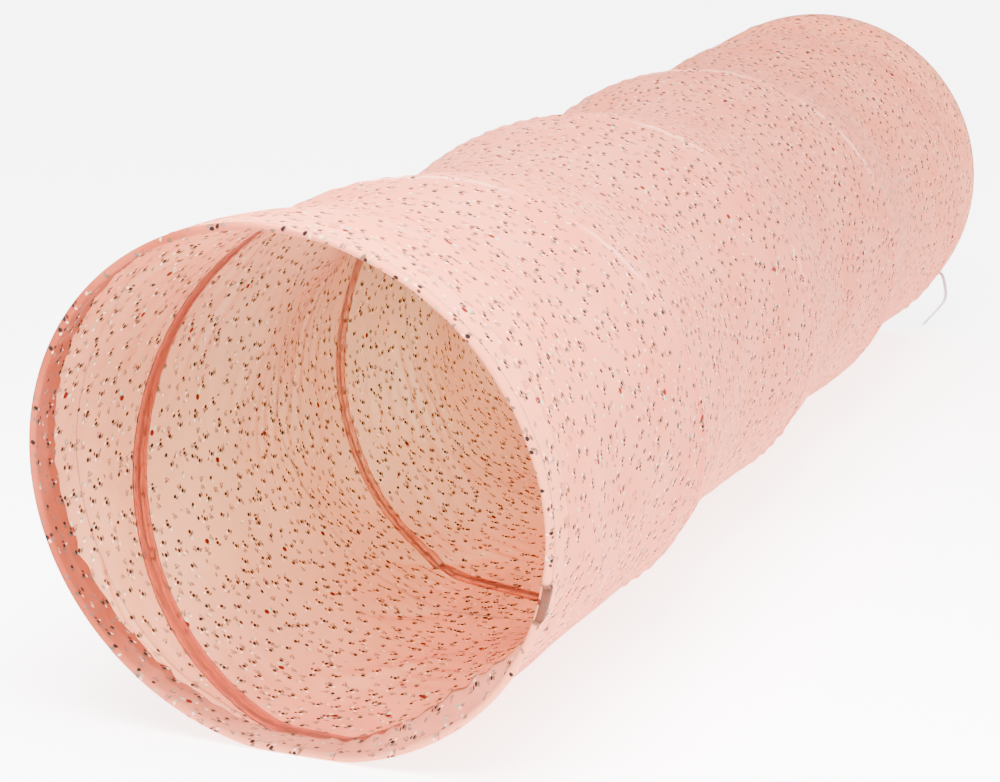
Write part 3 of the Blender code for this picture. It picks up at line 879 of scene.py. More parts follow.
@dataclass(frozen=True)
class PlainTape:
    """Plain cotton tape in coral, a little glossier than the cloth, darker at its rolled edges, and painted
    lighter away from the mouths in place of light that comes through the cloth.
    """

    name: str = "plain_tape"
    colour: str = "D8846C"
    worn: str = "DE917A"
    edge: str = "BC644E"
    # Painted light: the tape turns to this colour away from the mouths.
    deep_light_tint: str = "FFD0BE"
    half_width: float = 0.0105
    # Millimetres, drawn coarser than the real 0.5 mm, so that the ribs show.
    rib: float = 1.2

    def make(self) -> bpy.types.Material:
        """Build the material from the tape's own flat coordinates."""
        material, tree, shader = new_material(self.name)
        along = add_node(tree, "ShaderNodeUVMap", uv_map="cloth")
        parts = add_node(tree, "ShaderNodeSeparateXYZ", {0: along})
        across = add_node(tree, "ShaderNodeMath", {0: parts.outputs[1]}, operation="ABSOLUTE")
        edge = add_node(tree, "ShaderNodeMapRange",
                        {"Value": across, "From Min": self.half_width * 0.86, "From Max": self.half_width,
                         "To Max": 0.75})
        wear = add_node(tree, "ShaderNodeTexNoise", {"Vector": along, "Scale": 45.0, "Detail": 4.0})
        # Painted light: the tape is painted lighter away from the mouths.
        deep = add_node(tree, "ShaderNodeAttribute", attribute_name="deep").outputs["Fac"]
        colour = linear(self.colour)
        for share, above in ((wear, self.worn), (deep, self.deep_light_tint), (edge, self.edge)):
            colour = add_node(tree, "ShaderNodeMix", {0: share, 6: colour, 7: linear(above)},
                              data_type="RGBA").outputs[2]
        ribs = add_node(tree, "ShaderNodeTexWave",
                        {"Vector": along, "Scale": band_scale(self.rib), "Distortion": 0.3},
                        bands_direction="X").outputs["Fac"]
        bump = add_node(tree, "ShaderNodeBump", {"Strength": 0.2, "Distance": 0.0003, "Height": ribs})
        feed(tree, shader, {"Base Color": colour, "Roughness": 0.7, "Sheen Weight": 0.02,
                            "Specular IOR Level": 0.1, "Normal": bump, "Transmission Weight": 0.9, "IOR": 1.05})
        return material


@dataclass(frozen=True)
class SewingThread:
    """Twisted polyester thread."""

    name: str = "sewing_thread"
    colour: str = "D78A77"
    shaded: str = "C4725F"
    twist: float = 0.6

    def make(self) -> bpy.types.Material:
        """Build the material with the thread's twist as bands."""
        material, tree, shader = new_material(self.name)
        place = add_node(tree, "ShaderNodeTexCoord").outputs["Object"]
        bands = add_node(tree, "ShaderNodeTexWave", {"Vector": place, "Scale": band_scale(self.twist)},
                         bands_direction="DIAGONAL").outputs["Fac"]
        colour = add_node(tree, "ShaderNodeMix", {0: bands, 6: linear(self.colour), 7: linear(self.shaded)},
                          data_type="RGBA").outputs[2]
        feed(tree, shader, {"Base Color": colour, "Roughness": 0.6, "Sheen Weight": 0.2})
        return material


@dataclass(frozen=True)
class WorkedSteel:
    """Bare or plated steel whose fine marks change its grey and its gloss."""

    name: str
    colour: str
    marked: str
    texture: str
    grain: dict[str, float]
    roughness: tuple[float, float]
    depth: float

    def make(self) -> bpy.types.Material:
        """Build the material with the marks in its colour, its roughness and its surface."""
        material, tree, shader = new_material(self.name)
        place = add_node(tree, "ShaderNodeTexCoord").outputs["Object"]
        marks = add_node(tree, self.texture, {"Vector": place, **self.grain})
        colour = add_node(tree, "ShaderNodeMix", {0: marks, 6: linear(self.colour), 7: linear(self.marked)},
                          data_type="RGBA").outputs[2]
        rough = add_node(tree, "ShaderNodeMapRange",
                         {"Value": marks, "To Min": self.roughness[0], "To Max": self.roughness[1]})
        bump = add_node(tree, "ShaderNodeBump", {"Strength": self.depth, "Distance": 0.0001, "Height": marks})
        feed(tree, shader, {"Base Color": colour, "Metallic": 1.0, "Roughness": rough, "Normal": bump})
        return material


# Drawn spring steel, zinc plated: fine spots of plating over a dull bright grey.
SPRING_WIRE = WorkedSteel("sprung_wire", "A9A9A6", "8C8B86", "ShaderNodeTexNoise",
                          {"Scale": 420.0, "Detail": 4.0}, (0.28, 0.46), 0.1)
# Rolled mild steel, tumbled and pressed flat over the wires: small tumbling marks, a little warmer.
CRIMPED_SLEEVE = WorkedSteel("crimped_sleeve", "B4B0A6", "95918A", "ShaderNodeTexVoronoi",
                             {"Scale": 900.0}, (0.32, 0.55), 0.15)


@dataclass(frozen=True)
class WovenRibbon:
    """Narrow grosgrain ribbon in grey mauve, with ribs across it and a satin gloss."""

    name: str = "woven_ribbon"
    colour: str = "A58C90"
    shaded: str = "8D757B"
    rib: float = 0.9

    def make(self) -> bpy.types.Material:
        """Build the material with ribs across the ribbon."""
        material, tree, shader = new_material(self.name)
        along = add_node(tree, "ShaderNodeUVMap", uv_map="cloth")
        ribs = add_node(tree, "ShaderNodeTexWave", {"Vector": along, "Scale": band_scale(self.rib)},
                        bands_direction="X").outputs["Fac"]
        colour = add_node(tree, "ShaderNodeMix", {0: ribs, 6: linear(self.colour), 7: linear(self.shaded)},
                          data_type="RGBA").outputs[2]
        bump = add_node(tree, "ShaderNodeBump", {"Strength": 0.4, "Distance": 0.0002, "Height": ribs})
        feed(tree, shader, {"Base Color": colour, "Roughness": 0.5, "Sheen Weight": 0.3, "Normal": bump})
        return material


@dataclass(frozen=True)
class StudioPaper:
    """Seamless white paper under and behind the tunnel."""

    name: str = "studio_paper"
    colour: str = "FBFAF9"
    glow: float = 4.0

    def make(self) -> bpy.types.Material:
        """Build the material with the paper's faint tooth."""
        material, tree, shader = new_material(self.name)
        place = add_node(tree, "ShaderNodeTexCoord").outputs["Object"]
        tooth = add_node(tree, "ShaderNodeTexNoise", {"Vector": place, "Scale": 300.0})
        bump = add_node(tree, "ShaderNodeBump", {"Strength": 0.05, "Distance": 0.0002, "Height": tooth})
        feed(tree, shader, {"Base Color": linear(self.colour), "Roughness": 0.9, "Normal": bump,
                            "Emission Color": linear(self.colour), "Emission Strength": self.glow})
        return material


@dataclass(frozen=True)
class Finishes:
    """Every material of the tunnel, made once."""

    cotton: bpy.types.Material
    hem: bpy.types.Material
    tape: bpy.types.Material
    thread: bpy.types.Material
    wire: bpy.types.Material
    sleeve: bpy.types.Material
    ribbon: bpy.types.Material
    paper: bpy.types.Material

    @classmethod
    def made(cls) -> "Finishes":
        """Make the whole set."""
        hem = PrintedCotton(name="turned_cotton", outer="D07658", inner="C06E55", light_share=0.08)
        return cls(PrintedCotton().make(), hem.make(), PlainTape().make(), SewingThread().make(),
                   SPRING_WIRE.make(), CRIMPED_SLEEVE.make(), WovenRibbon().make(), StudioPaper().make())


@dataclass(frozen=True)
class Fold:
    """How one piece goes with the frame: its body and, if it folds, its joint and anchor."""

    body: str
    joint: str | None = None
    anchor_y: float = 0.0
    keep: float = 1.0

    def fasten(self, piece: bpy.types.Object, form: TunnelForm) -> None:
        """Ride the piece on its body, and give the piece its own mesh where it has a joint."""
        if self.joint is not None:
            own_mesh(piece)
        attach(piece, self.body)


def bay_fold(form: TunnelForm, bay: int) -> Fold:
    """Return how the pieces of one bay go with the frame.

    Args:
        form: The tunnel's sizes.
        bay: Number of the bay, from one at the near end.

    Returns:
        The bay's body, joint and anchor.
    """
    names = [Mouth.NEAR.body, *(f"turn_{turn}" for turn in range(1, form.bay_count)), Mouth.FAR.body]
    start = form.near_y + form.collar_end + (bay - 1) * form.bay_length
    return Fold(names[bay - 1], f"collapse_{names[bay]}", start, form.keep)


@dataclass(frozen=True)
class ClothTube:
    """The printed tube between the hems: a collar and the bays that fold."""

    form: TunnelForm
    relief: ClothRelief
    columns: int = 360
    collar_rows: int = 12
    bay_rows: int = 90
    # Reach from the mouths over which the inside is painted lighter.
    deep_reach: float = 0.55

    def stations(self) -> tuple[Array, list[tuple[int, int]]]:
        """Return every row's station, and the first and last row of the collar and of each bay."""
        form = self.form
        rows = list(np.linspace(form.hem_width, form.collar_end, self.collar_rows + 1))
        spans = [(0, self.collar_rows)]
        for bay in range(form.bay_count):
            start = form.collar_end + bay * form.bay_length
            end = start + form.bay_length if bay < form.bay_count - 1 else form.length - form.hem_width
            rows += list(np.linspace(start, end, self.bay_rows + 1)[1:])
            spans.append((spans[-1][1], spans[-1][1] + self.bay_rows))
        return np.array(rows), spans

    def grid(self) -> tuple[Array, Array, list[tuple[int, int]]]:
        """Return the angle and station of every point, with a row laid along the coil.

        Returns:
            Angles, stations and the spans of rows of the pieces.
        """
        rows, spans = self.stations()
        angle = math.pi + np.arange(self.columns) * (math.tau / self.columns)
        station = np.repeat(rows[:, None], self.columns, axis=1)
        fixed = (0, len(rows) - 1, spans[0][1])
        for wire in self.form.passes(angle):
            nearest = np.abs(rows[:, None] - wire[None, :]).argmin(axis=0)
            laid = (wire > rows[0]) & (wire < rows[-1]) & ~np.isin(nearest, fixed)
            station[nearest[laid], np.flatnonzero(laid)] = wire[laid]
        return np.repeat(angle[None, :], len(rows), axis=0), station, spans

    def make(self, finishes: Finishes) -> list[bpy.types.Object]:
        """Build the collar and the bays as thin closed shells.

        Args:
            finishes: The tunnel's materials.

        Returns:
            The pieces.
        """
        form = self.form
        angles, station, spans = self.grid()
        radius = self.relief.radius(angles, station)
        outer = form.points(angles, station, radius)
        inner = form.points(angles, station, radius, form.cloth)
        outer_normals, inner_normals = grid_normals(outer), -grid_normals(inner)
        distance = form.wire_distance(angles, station)
        crest, tape_shade = self.relief.over_wire_painted_light(angles, station)
        # Painted light: the share by which the inside is painted lighter away from the mouths.
        deep = smooth(form.from_mouth(station) / self.deep_reach)
        made = []
        for index, (first, last) in enumerate(spans):
            rows = slice(first, last + 1)
            piece = self.shell(f"bay_{index}_cotton" if index else "collar_cotton", outer[rows], inner[rows])
            normals = np.concatenate([outer_normals[rows].reshape(-1, 3), inner_normals[rows].reshape(-1, 3)])
            piece.data.normals_split_custom_set_from_vertices(normals.tolist())
            nought = np.zeros_like(crest[rows])
            # Painted light and shade carried by the cloth: the crest's highlight, the tape's shade and the
            # lighter inside deep in.
            set_values(piece, {
                **dict.fromkeys(CARRIED, 0.0),
                "inside": [nought, nought + 1.0], "wire_distance": [distance[rows]] * 2,
                "crest": [crest[rows], nought], "tape_through_and_shade": [tape_shade[rows], nought], "deep": [deep[rows]] * 2,
            })
            piece.data.materials.append(finishes.cotton)
            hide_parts(f"cloth_bay_{index}" if index else "cloth_collar")
            fold = bay_fold(form, index) if index else Fold(Mouth.NEAR.body)
            fold.fasten(piece, form)
            made.append(piece)
        return made

    def shell(self, name: str, outer: Array, inner: Array) -> bpy.types.Object:
        """Close an outer and an inner grid into one shell with its cloth coordinates.

        Args:
            name: Name of the piece.
            outer: Points of the outer face, rows by columns.
            inner: Points of the inner face.

        Returns:
            The piece.
        """
        rows, columns = outer.shape[:2]
        starts = np.arange(2 * rows) * columns
        bands = (
            ring_faces(starts[:rows], columns), ring_faces(starts[rows:], columns, inward=True),
            ring_faces(starts[[0, rows]], columns, inward=True), ring_faces(starts[[rows - 1, -1]], columns),
        )
        faces, unrolled = (np.concatenate(part) for part in zip(*bands))
        piece = mesh_object(name, [outer, inner], faces)
        u = unrolled * (math.tau * self.form.coil_radius / columns)
        v = outer[..., 1].ravel()[faces % (rows * columns)]
        set_uv(piece, np.stack([u, v], axis=-1))
        return piece


@dataclass(frozen=True)
class Hem:
    """The cloth turned in round a hoop, tucked under and sewn down."""

    form: TunnelForm
    relief: ClothRelief
    mouth: Mouth
    sleeve_angle: float
    columns: int = 540
    bead_radius: float = 0.00345
    tuck: float = 0.0105
    layer: float = 0.0009
    sleeve_half: float = 0.0155
    sleeve_rise: float = 0.0013
    pinch: float = 0.0005
    pinch_station: float = 0.0088
    gathers: float = 0.00065
    edge_drift: float = 0.0007
    # These six place painted shade: in the pleats beside the sleeve, and along the casing's edge, the tuck's
    # edge, the bead's edge and the groove.
    pleat_from: float = 0.0018
    pleat_width: float = 0.0024
    casing_length: float = 0.0270
    tuck_length: float = 0.0368
    bead_edge: float = 0.0044
    groove_length: float = 0.0090
    # Where round the mouth the painted light and shade on the hem are strongest: the turned-in cloth on the
    # left, the tuck's edge at the lower right, the groove on the right.
    left_angle: float = math.radians(288.0)
    left_half_angle: float = math.radians(98.0)
    left_fade: float = math.radians(45.0)
    low_right_angle: float = math.radians(140.0)
    low_right_spread: float = math.radians(38.0)
    right_angle: float = math.radians(100.0)
    room_beside_wire: float = 0.0060
    clearance: float = 0.0003

    def profile(self) -> tuple[Array, Array, Array]:
        """Return the hem's middle line as station, inset and length of cloth from the rim.

        Returns:
            Stations, insets and signed lengths, in order from the outer seam round the wire to the tuck.
        """
        width, half, bead = self.form.hem_width, self.layer / 2.0, self.bead_radius
        outer_s = np.concatenate([np.linspace(width, 0.0125, 8), np.linspace(0.0115, bead, 15)])
        count = len(outer_s)
        outer_i = half + self.pinch * bell((outer_s - self.pinch_station) / 0.0016)
        turn = np.linspace(0.0, math.pi, 15)[1:-1]
        reach = bead - half
        bead_s = bead - reach * np.sin(turn)
        bead_i = bead - reach * np.cos(turn)
        down = np.linspace(0.0, 1.0, 16)
        edge_inset = 4.6 * half
        inner_s = bead + (width - bead) * down
        inner_i = edge_inset + (2.0 * bead - half - edge_inset) * (1.0 - down) ** 1.35
        fold = np.linspace(0.0, math.pi, 6)[1:-1]
        fold_radius = 1.02 * half
        fold_s = width + fold_radius * np.sin(fold)
        fold_i = edge_inset - fold_radius + fold_radius * np.cos(fold)
        tuck_s = np.linspace(width, width - self.tuck, 5)
        tuck_i = np.full(5, edge_inset - 2.0 * fold_radius)
        station = np.concatenate([outer_s, bead_s, inner_s, fold_s, tuck_s])
        inset = np.concatenate([outer_i, bead_i, inner_i, fold_i, tuck_i])
        steps = np.hypot(np.diff(station), np.diff(inset))
        length = np.concatenate([[0.0], np.cumsum(steps)])
        rim = length[count + 6]
        return station, inset, rim - length

    def make(self, finishes: Finishes) -> bpy.types.Object:
        """Build the hem as one folded layer of cloth with its thickness.

        Args:
            finishes: The tunnel's materials.

        Returns:
            The piece.
        """
        form = self.form
        station, inset, length = self.profile()
        slope = np.stack([np.gradient(station), np.gradient(inset)], axis=-1)
        slope /= np.linalg.norm(slope, axis=-1, keepdims=True)
        side = np.stack([slope[:, 1], -slope[:, 0]], axis=-1) * (self.layer / 2.0)
        line = np.stack([station, inset], axis=-1)
        loop = np.concatenate([line + side, (line - side)[::-1]])
        length_loop = np.concatenate([length, length[::-1]])
        angle = math.pi + np.arange(self.columns) * (math.tau / self.columns)
        angles, stations, insets, lengths = np.broadcast_arrays(
            angle[None, :], loop[:, :1], loop[:, 1:], length_loop[:, None])
        inner_side = smooth(-lengths / 0.006)
        shade = self.wobble(angles, stations, lengths)
        real_station = stations + shade["drift"] * inner_side
        looked_up = form.station_from(self.mouth, real_station)
        sag_station = np.clip(looked_up, 0.0, form.length)
        radius = form.hoop_radius + self.relief.outward(angles, sag_station) * smooth(real_station / 0.012)
        radius = radius + shade["rise"] - shade["gather"] * inner_side
        insets = self.over_the_wire(angles, looked_up, insets)
        points = form.points(angles, looked_up, radius, insets)
        piece = self.closed(f"hem_{self.mouth.value}_cotton", points, lengths)
        self.tint(piece, angles, lengths, shade)
        piece.data.materials.append(finishes.hem)
        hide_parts(f"{self.mouth.side}_hem")
        Fold(self.mouth.body).fasten(piece, form)
        return piece

    def over_the_wire(self, angles: Array, stations: Array, insets: Array) -> Array:
        """Lift the hem's inner layer over the coil where the wire runs inside the hem.

        Args:
            angles: Angles round the mouth.
            stations: Stations along the tunnel.
            insets: Depths inside the outer face.

        Returns:
            The depths, deeper where the wire needs room.
        """
        form = self.form
        needed = form.wire_depth(stations) + form.wire_radius + self.layer / 2.0 + self.clearance
        beside = form.wire_distance(angles, stations) - form.wire_radius
        inner_layer = smooth((insets - 0.0016) / 0.0004)
        cover = smooth(1.0 - beside / self.room_beside_wire) * inner_layer
        return insets + np.maximum(needed - insets, 0.0) * cover

    def tint(self, piece: bpy.types.Object, angles: Array, lengths: Array, shade: dict[str, Array]) -> None:
        """Give the hem the values that its cloth is coloured by, including its painted light and shade.

        Args:
            piece: The hem.
            angles: Angles round the mouth.
            lengths: Lengths of cloth from the rim, negative inside.
            shade: Where the cloth lies over the sleeve, and where it is pleated beside it, as shares of painted
                shade.
        """
        inward = -lengths
        strip = smooth((inward - self.casing_length) / 0.0012)
        from_left = np.abs(wrapped(angles - self.left_angle))
        left = smooth((self.left_half_angle - from_left) / self.left_fade)
        low_right = bell(wrapped(angles - self.low_right_angle) / self.low_right_spread)
        right = 0.5 + 0.5 * np.cos(angles - self.right_angle)
        patch = smooth(0.5 + 0.6 * self.relief.waves(angles, lengths, (3, 14), (20.0, 90.0), 10, 9))
        # The turned-in cloth is painted darker and redder, most on the left where light comes through it from
        # behind, and painted shade falls on the tuck at the lower right.
        on_turned = smooth((0.0065 * left + inward) / 0.002)
        turned = on_turned * (0.04 + 0.80 * left + 0.16 * patch) + strip * (0.05 + 0.30 * left)
        turned = turned + 0.95 * low_right * smooth((inward - self.tuck_length) / 0.0008)
        # Painted shade along the bead's edge, in the groove, at the casing's edge, under the tuck's edge and in
        # the pleats beside the sleeve.
        shade_strokes = (
            0.75 * (1.0 - right) * bell((lengths - self.bead_edge) / 0.0010)
            + (0.30 + 0.60 * right) * bell((lengths - self.groove_length) / (0.0010 + 0.0008 * low_right))
            + 0.38 * bell((inward - self.casing_length) / 0.0005) * (0.3 + 0.7 * left)
            + 0.42 * low_right * smooth((inward + 0.0002 - self.tuck_length) / 0.0008)
            + 0.95 * shade["pleat_shade"]
        )
        # The cloth over the sleeve is painted dark: painted shade of the steel under it.
        set_values(piece, {
            **dict.fromkeys(CARRIED, 0.0), "inside": smooth(inward / 0.002), "wire_distance": 1.0,
            "turned": np.clip(turned, 0.0, 1.0), "rim": np.clip(shade_strokes, 0.0, 1.0),
            "sleeve": 0.95 * shade["sleeve"],
        })

    def wobble(self, angles: Array, stations: Array, lengths: Array) -> dict[str, Array]:
        """Return the hem's gathers, its uneven edge and its bulge over the sleeve.

        Args:
            angles: Angles round the mouth.
            stations: Stations from the mouth.
            lengths: Lengths of cloth from the rim, negative inside.

        Returns:
            The named offsets, in metres, and the shares of painted shade over the sleeve and in the pleats
            beside it.
        """
        waves = self.relief.waves
        seed = 20 if self.mouth is Mouth.NEAR else 30
        drift = self.edge_drift * waves(angles, np.zeros(1), (5, 28), (0.0, 1.0), 10, seed)
        gather = self.gathers * waves(angles, stations, (26, 80), (-90.0, 90.0), 14, seed + 1)
        gather = gather * smooth(stations / 0.02)
        beside = np.abs(wrapped(angles - self.sleeve_angle)) * self.form.hoop_radius - self.sleeve_half
        along = 1.0 - smooth(beside / 0.0022)
        over = smooth((0.0125 - stations) / 0.003)
        pinch = bell((beside - 0.0028) / 0.0016)
        rise = (self.sleeve_rise * along - 0.0008 * pinch) * over * (lengths > -0.004)
        # Shares of painted shade over the sleeve and in the pleats beside it.
        shown = over * (lengths > -0.003)
        pleat_shade = bell((beside - self.pleat_from) / self.pleat_width) * shown
        return {"drift": drift, "gather": gather, "rise": rise, "sleeve": along * shown, "pleat_shade": pleat_shade}

    def closed(self, name: str, points: Array, lengths: Array) -> bpy.types.Object:
        """Join the loops of the hem round the mouth into one closed skin.

        Args:
            name: Name of the piece.
            points: Points, round the profile by round the mouth.
            lengths: Lengths of cloth from the rim at those points.

        Returns:
            The piece.
        """
        rows, columns = points.shape[:2]
        near = self.mouth is Mouth.NEAR
        starts = np.append(np.arange(rows), 0) * columns
        faces, unrolled = ring_faces(starts, columns, inward=not near, quads=True)
        piece = mesh_object(name, points, faces)
        rim_y = points[..., 1].min(axis=0) if near else points[..., 1].max(axis=0)
        from_rim = lengths.ravel()[faces] * (1.0 if near else -1.0)
        u = unrolled * (math.tau * self.form.coil_radius / columns)
        set_uv(piece, np.stack([u, rim_y[faces % columns] + from_rim], axis=-1))
        return piece


def path_mesh(name: str, paths: Iterable[tuple[Array, bool]]) -> bpy.types.Object:
    """Make an object of bare edges that follow one or more paths.

    Args:
        name: Name of the object.
        paths: Points of each path, and whether it closes on itself.

    Returns:
        The linked object.
    """
    points, edges, start = [], [], 0
    for path, closed in paths:
        count = len(path)
        points += np.asarray(path).tolist()
        edges += [(start + i, start + i + 1) for i in range(count - 1)]
        if closed:
            edges.append((start + count - 1, start))
        start += count
    return mesh_object(name, points, [], edges)


def node_tree(name: str, inputs: Sequence[tuple[str, str, object]]) -> tuple[
        bpy.types.NodeTree, bpy.types.NodeOutputs, bpy.types.Node]:
    """Start a Geometry Nodes tree with named inputs.

    Args:
        name: Name of the tree.
        inputs: Name, socket type and first value of each input.

    Returns:
        The tree, the sockets of its inputs and the node that its points and edges come out of as curves.
    """
    tree = bpy.data.node_groups.new(name, "GeometryNodeTree")
    tree.interface.new_socket("Geometry", in_out="INPUT", socket_type="NodeSocketGeometry")
    for label, kind, value in inputs:
        socket = tree.interface.new_socket(label, in_out="INPUT", socket_type=kind)
        if value is not None:
            socket.default_value = value
    tree.interface.new_socket("Geometry", in_out="OUTPUT", socket_type="NodeSocketGeometry")
    given = tree.nodes.new("NodeGroupInput").outputs
    return tree, given, add_node(tree, "GeometryNodeMeshToCurve", {"Mesh": given["Geometry"]})


def end_tree(tree: bpy.types.NodeTree, shape: bpy.types.Node, material: bpy.types.NodeSocket) -> None:
    """End a tree by making its shape real, smooth and of its material."""
    whole = add_node(tree, "GeometryNodeRealizeInstances", {0: shape})
    smoothed = add_node(tree, "GeometryNodeSetShadeSmooth", {0: whole})
    dressed = add_node(tree, "GeometryNodeSetMaterial", {"Geometry": smoothed, "Material": material})
    add_node(tree, "NodeGroupOutput", {0: dressed})


def grown(piece: bpy.types.Object, tree: bpy.types.NodeTree, values: dict[str, object]) -> bpy.types.Object:
    """Run a Geometry Nodes tree on an object and keep the result as its plain mesh.

    Args:
        piece: The object that carries the paths.
        tree: The tree to run.
        values: Values of the tree's named inputs.

    Returns:
        The same object with its new mesh and no modifier.
    """
    modifier = piece.modifiers.new(tree.name, "NODES")
    modifier.node_group = tree
    for socket in tree.interface.items_tree:
        if socket.in_out == "INPUT" and socket.name in values:
            modifier[socket.identifier] = values[socket.name]
    bpy.context.view_layer.update()
    evaluated = piece.evaluated_get(bpy.context.evaluated_depsgraph_get())
    mesh = bpy.data.meshes.new_from_object(evaluated)
    piece.modifiers.remove(modifier)
    old = piece.data
    piece.data = mesh
    bpy.data.meshes.remove(old)
    return piece


def wire_tree() -> bpy.types.NodeTree:
    """Build the tree that draws a round wire along a path."""
    tree, given, curve = node_tree("Drawn wire", (
        ("Wire Radius", "NodeSocketFloat", 0.001), ("Sides", "NodeSocketInt", 12),
        ("Material", "NodeSocketMaterial", None),
    ))
    ring = add_node(tree, "GeometryNodeCurvePrimitiveCircle",
                    {"Resolution": given["Sides"], "Radius": given["Wire Radius"]})
    tube = add_node(tree, "GeometryNodeCurveToMesh", {"Curve": curve, "Profile Curve": ring, "Fill Caps": True})
    end_tree(tree, tube, given["Material"])
    return tree


def stitch_tree() -> bpy.types.NodeTree:
    """Build the tree that lays stitches end to end along paths."""
    tree, given, curve = node_tree("Lockstitch", (
        ("Pitch", "NodeSocketFloat", 0.0032), ("Stitch Length", "NodeSocketFloat", 0.0024),
        ("Thread Radius", "NodeSocketFloat", 0.0003), ("Seed", "NodeSocketInt", 3),
        ("Material", "NodeSocketMaterial", None),
    ))
    points = add_node(tree, "GeometryNodeCurveToPoints", {"Curve": curve, "Length": given["Pitch"]},
                      mode="LENGTH")
    bead = add_node(tree, "GeometryNodeMeshUVSphere", {"Segments": 6, "Rings": 4, "Radius": 1.0})
    half = add_node(tree, "ShaderNodeMath", {0: given["Stitch Length"], 1: 0.5}, operation="MULTIPLY")
    size = add_node(tree, "ShaderNodeCombineXYZ",
                    {0: given["Thread Radius"], 1: given["Thread Radius"], 2: half})
    drawn = add_node(tree, "FunctionNodeRandomValue", {2: 0.88, 3: 1.12, "Seed": given["Seed"]},
                     data_type="FLOAT")
    uneven = add_node(tree, "ShaderNodeVectorMath", {0: size, "Scale": drawn.outputs[1]}, operation="SCALE")
    laid = add_node(tree, "GeometryNodeInstanceOnPoints",
                    {"Points": points, "Instance": bead, "Rotation": points.outputs["Rotation"],
                     "Scale": uneven})
    end_tree(tree, laid, given["Material"])
    return tree


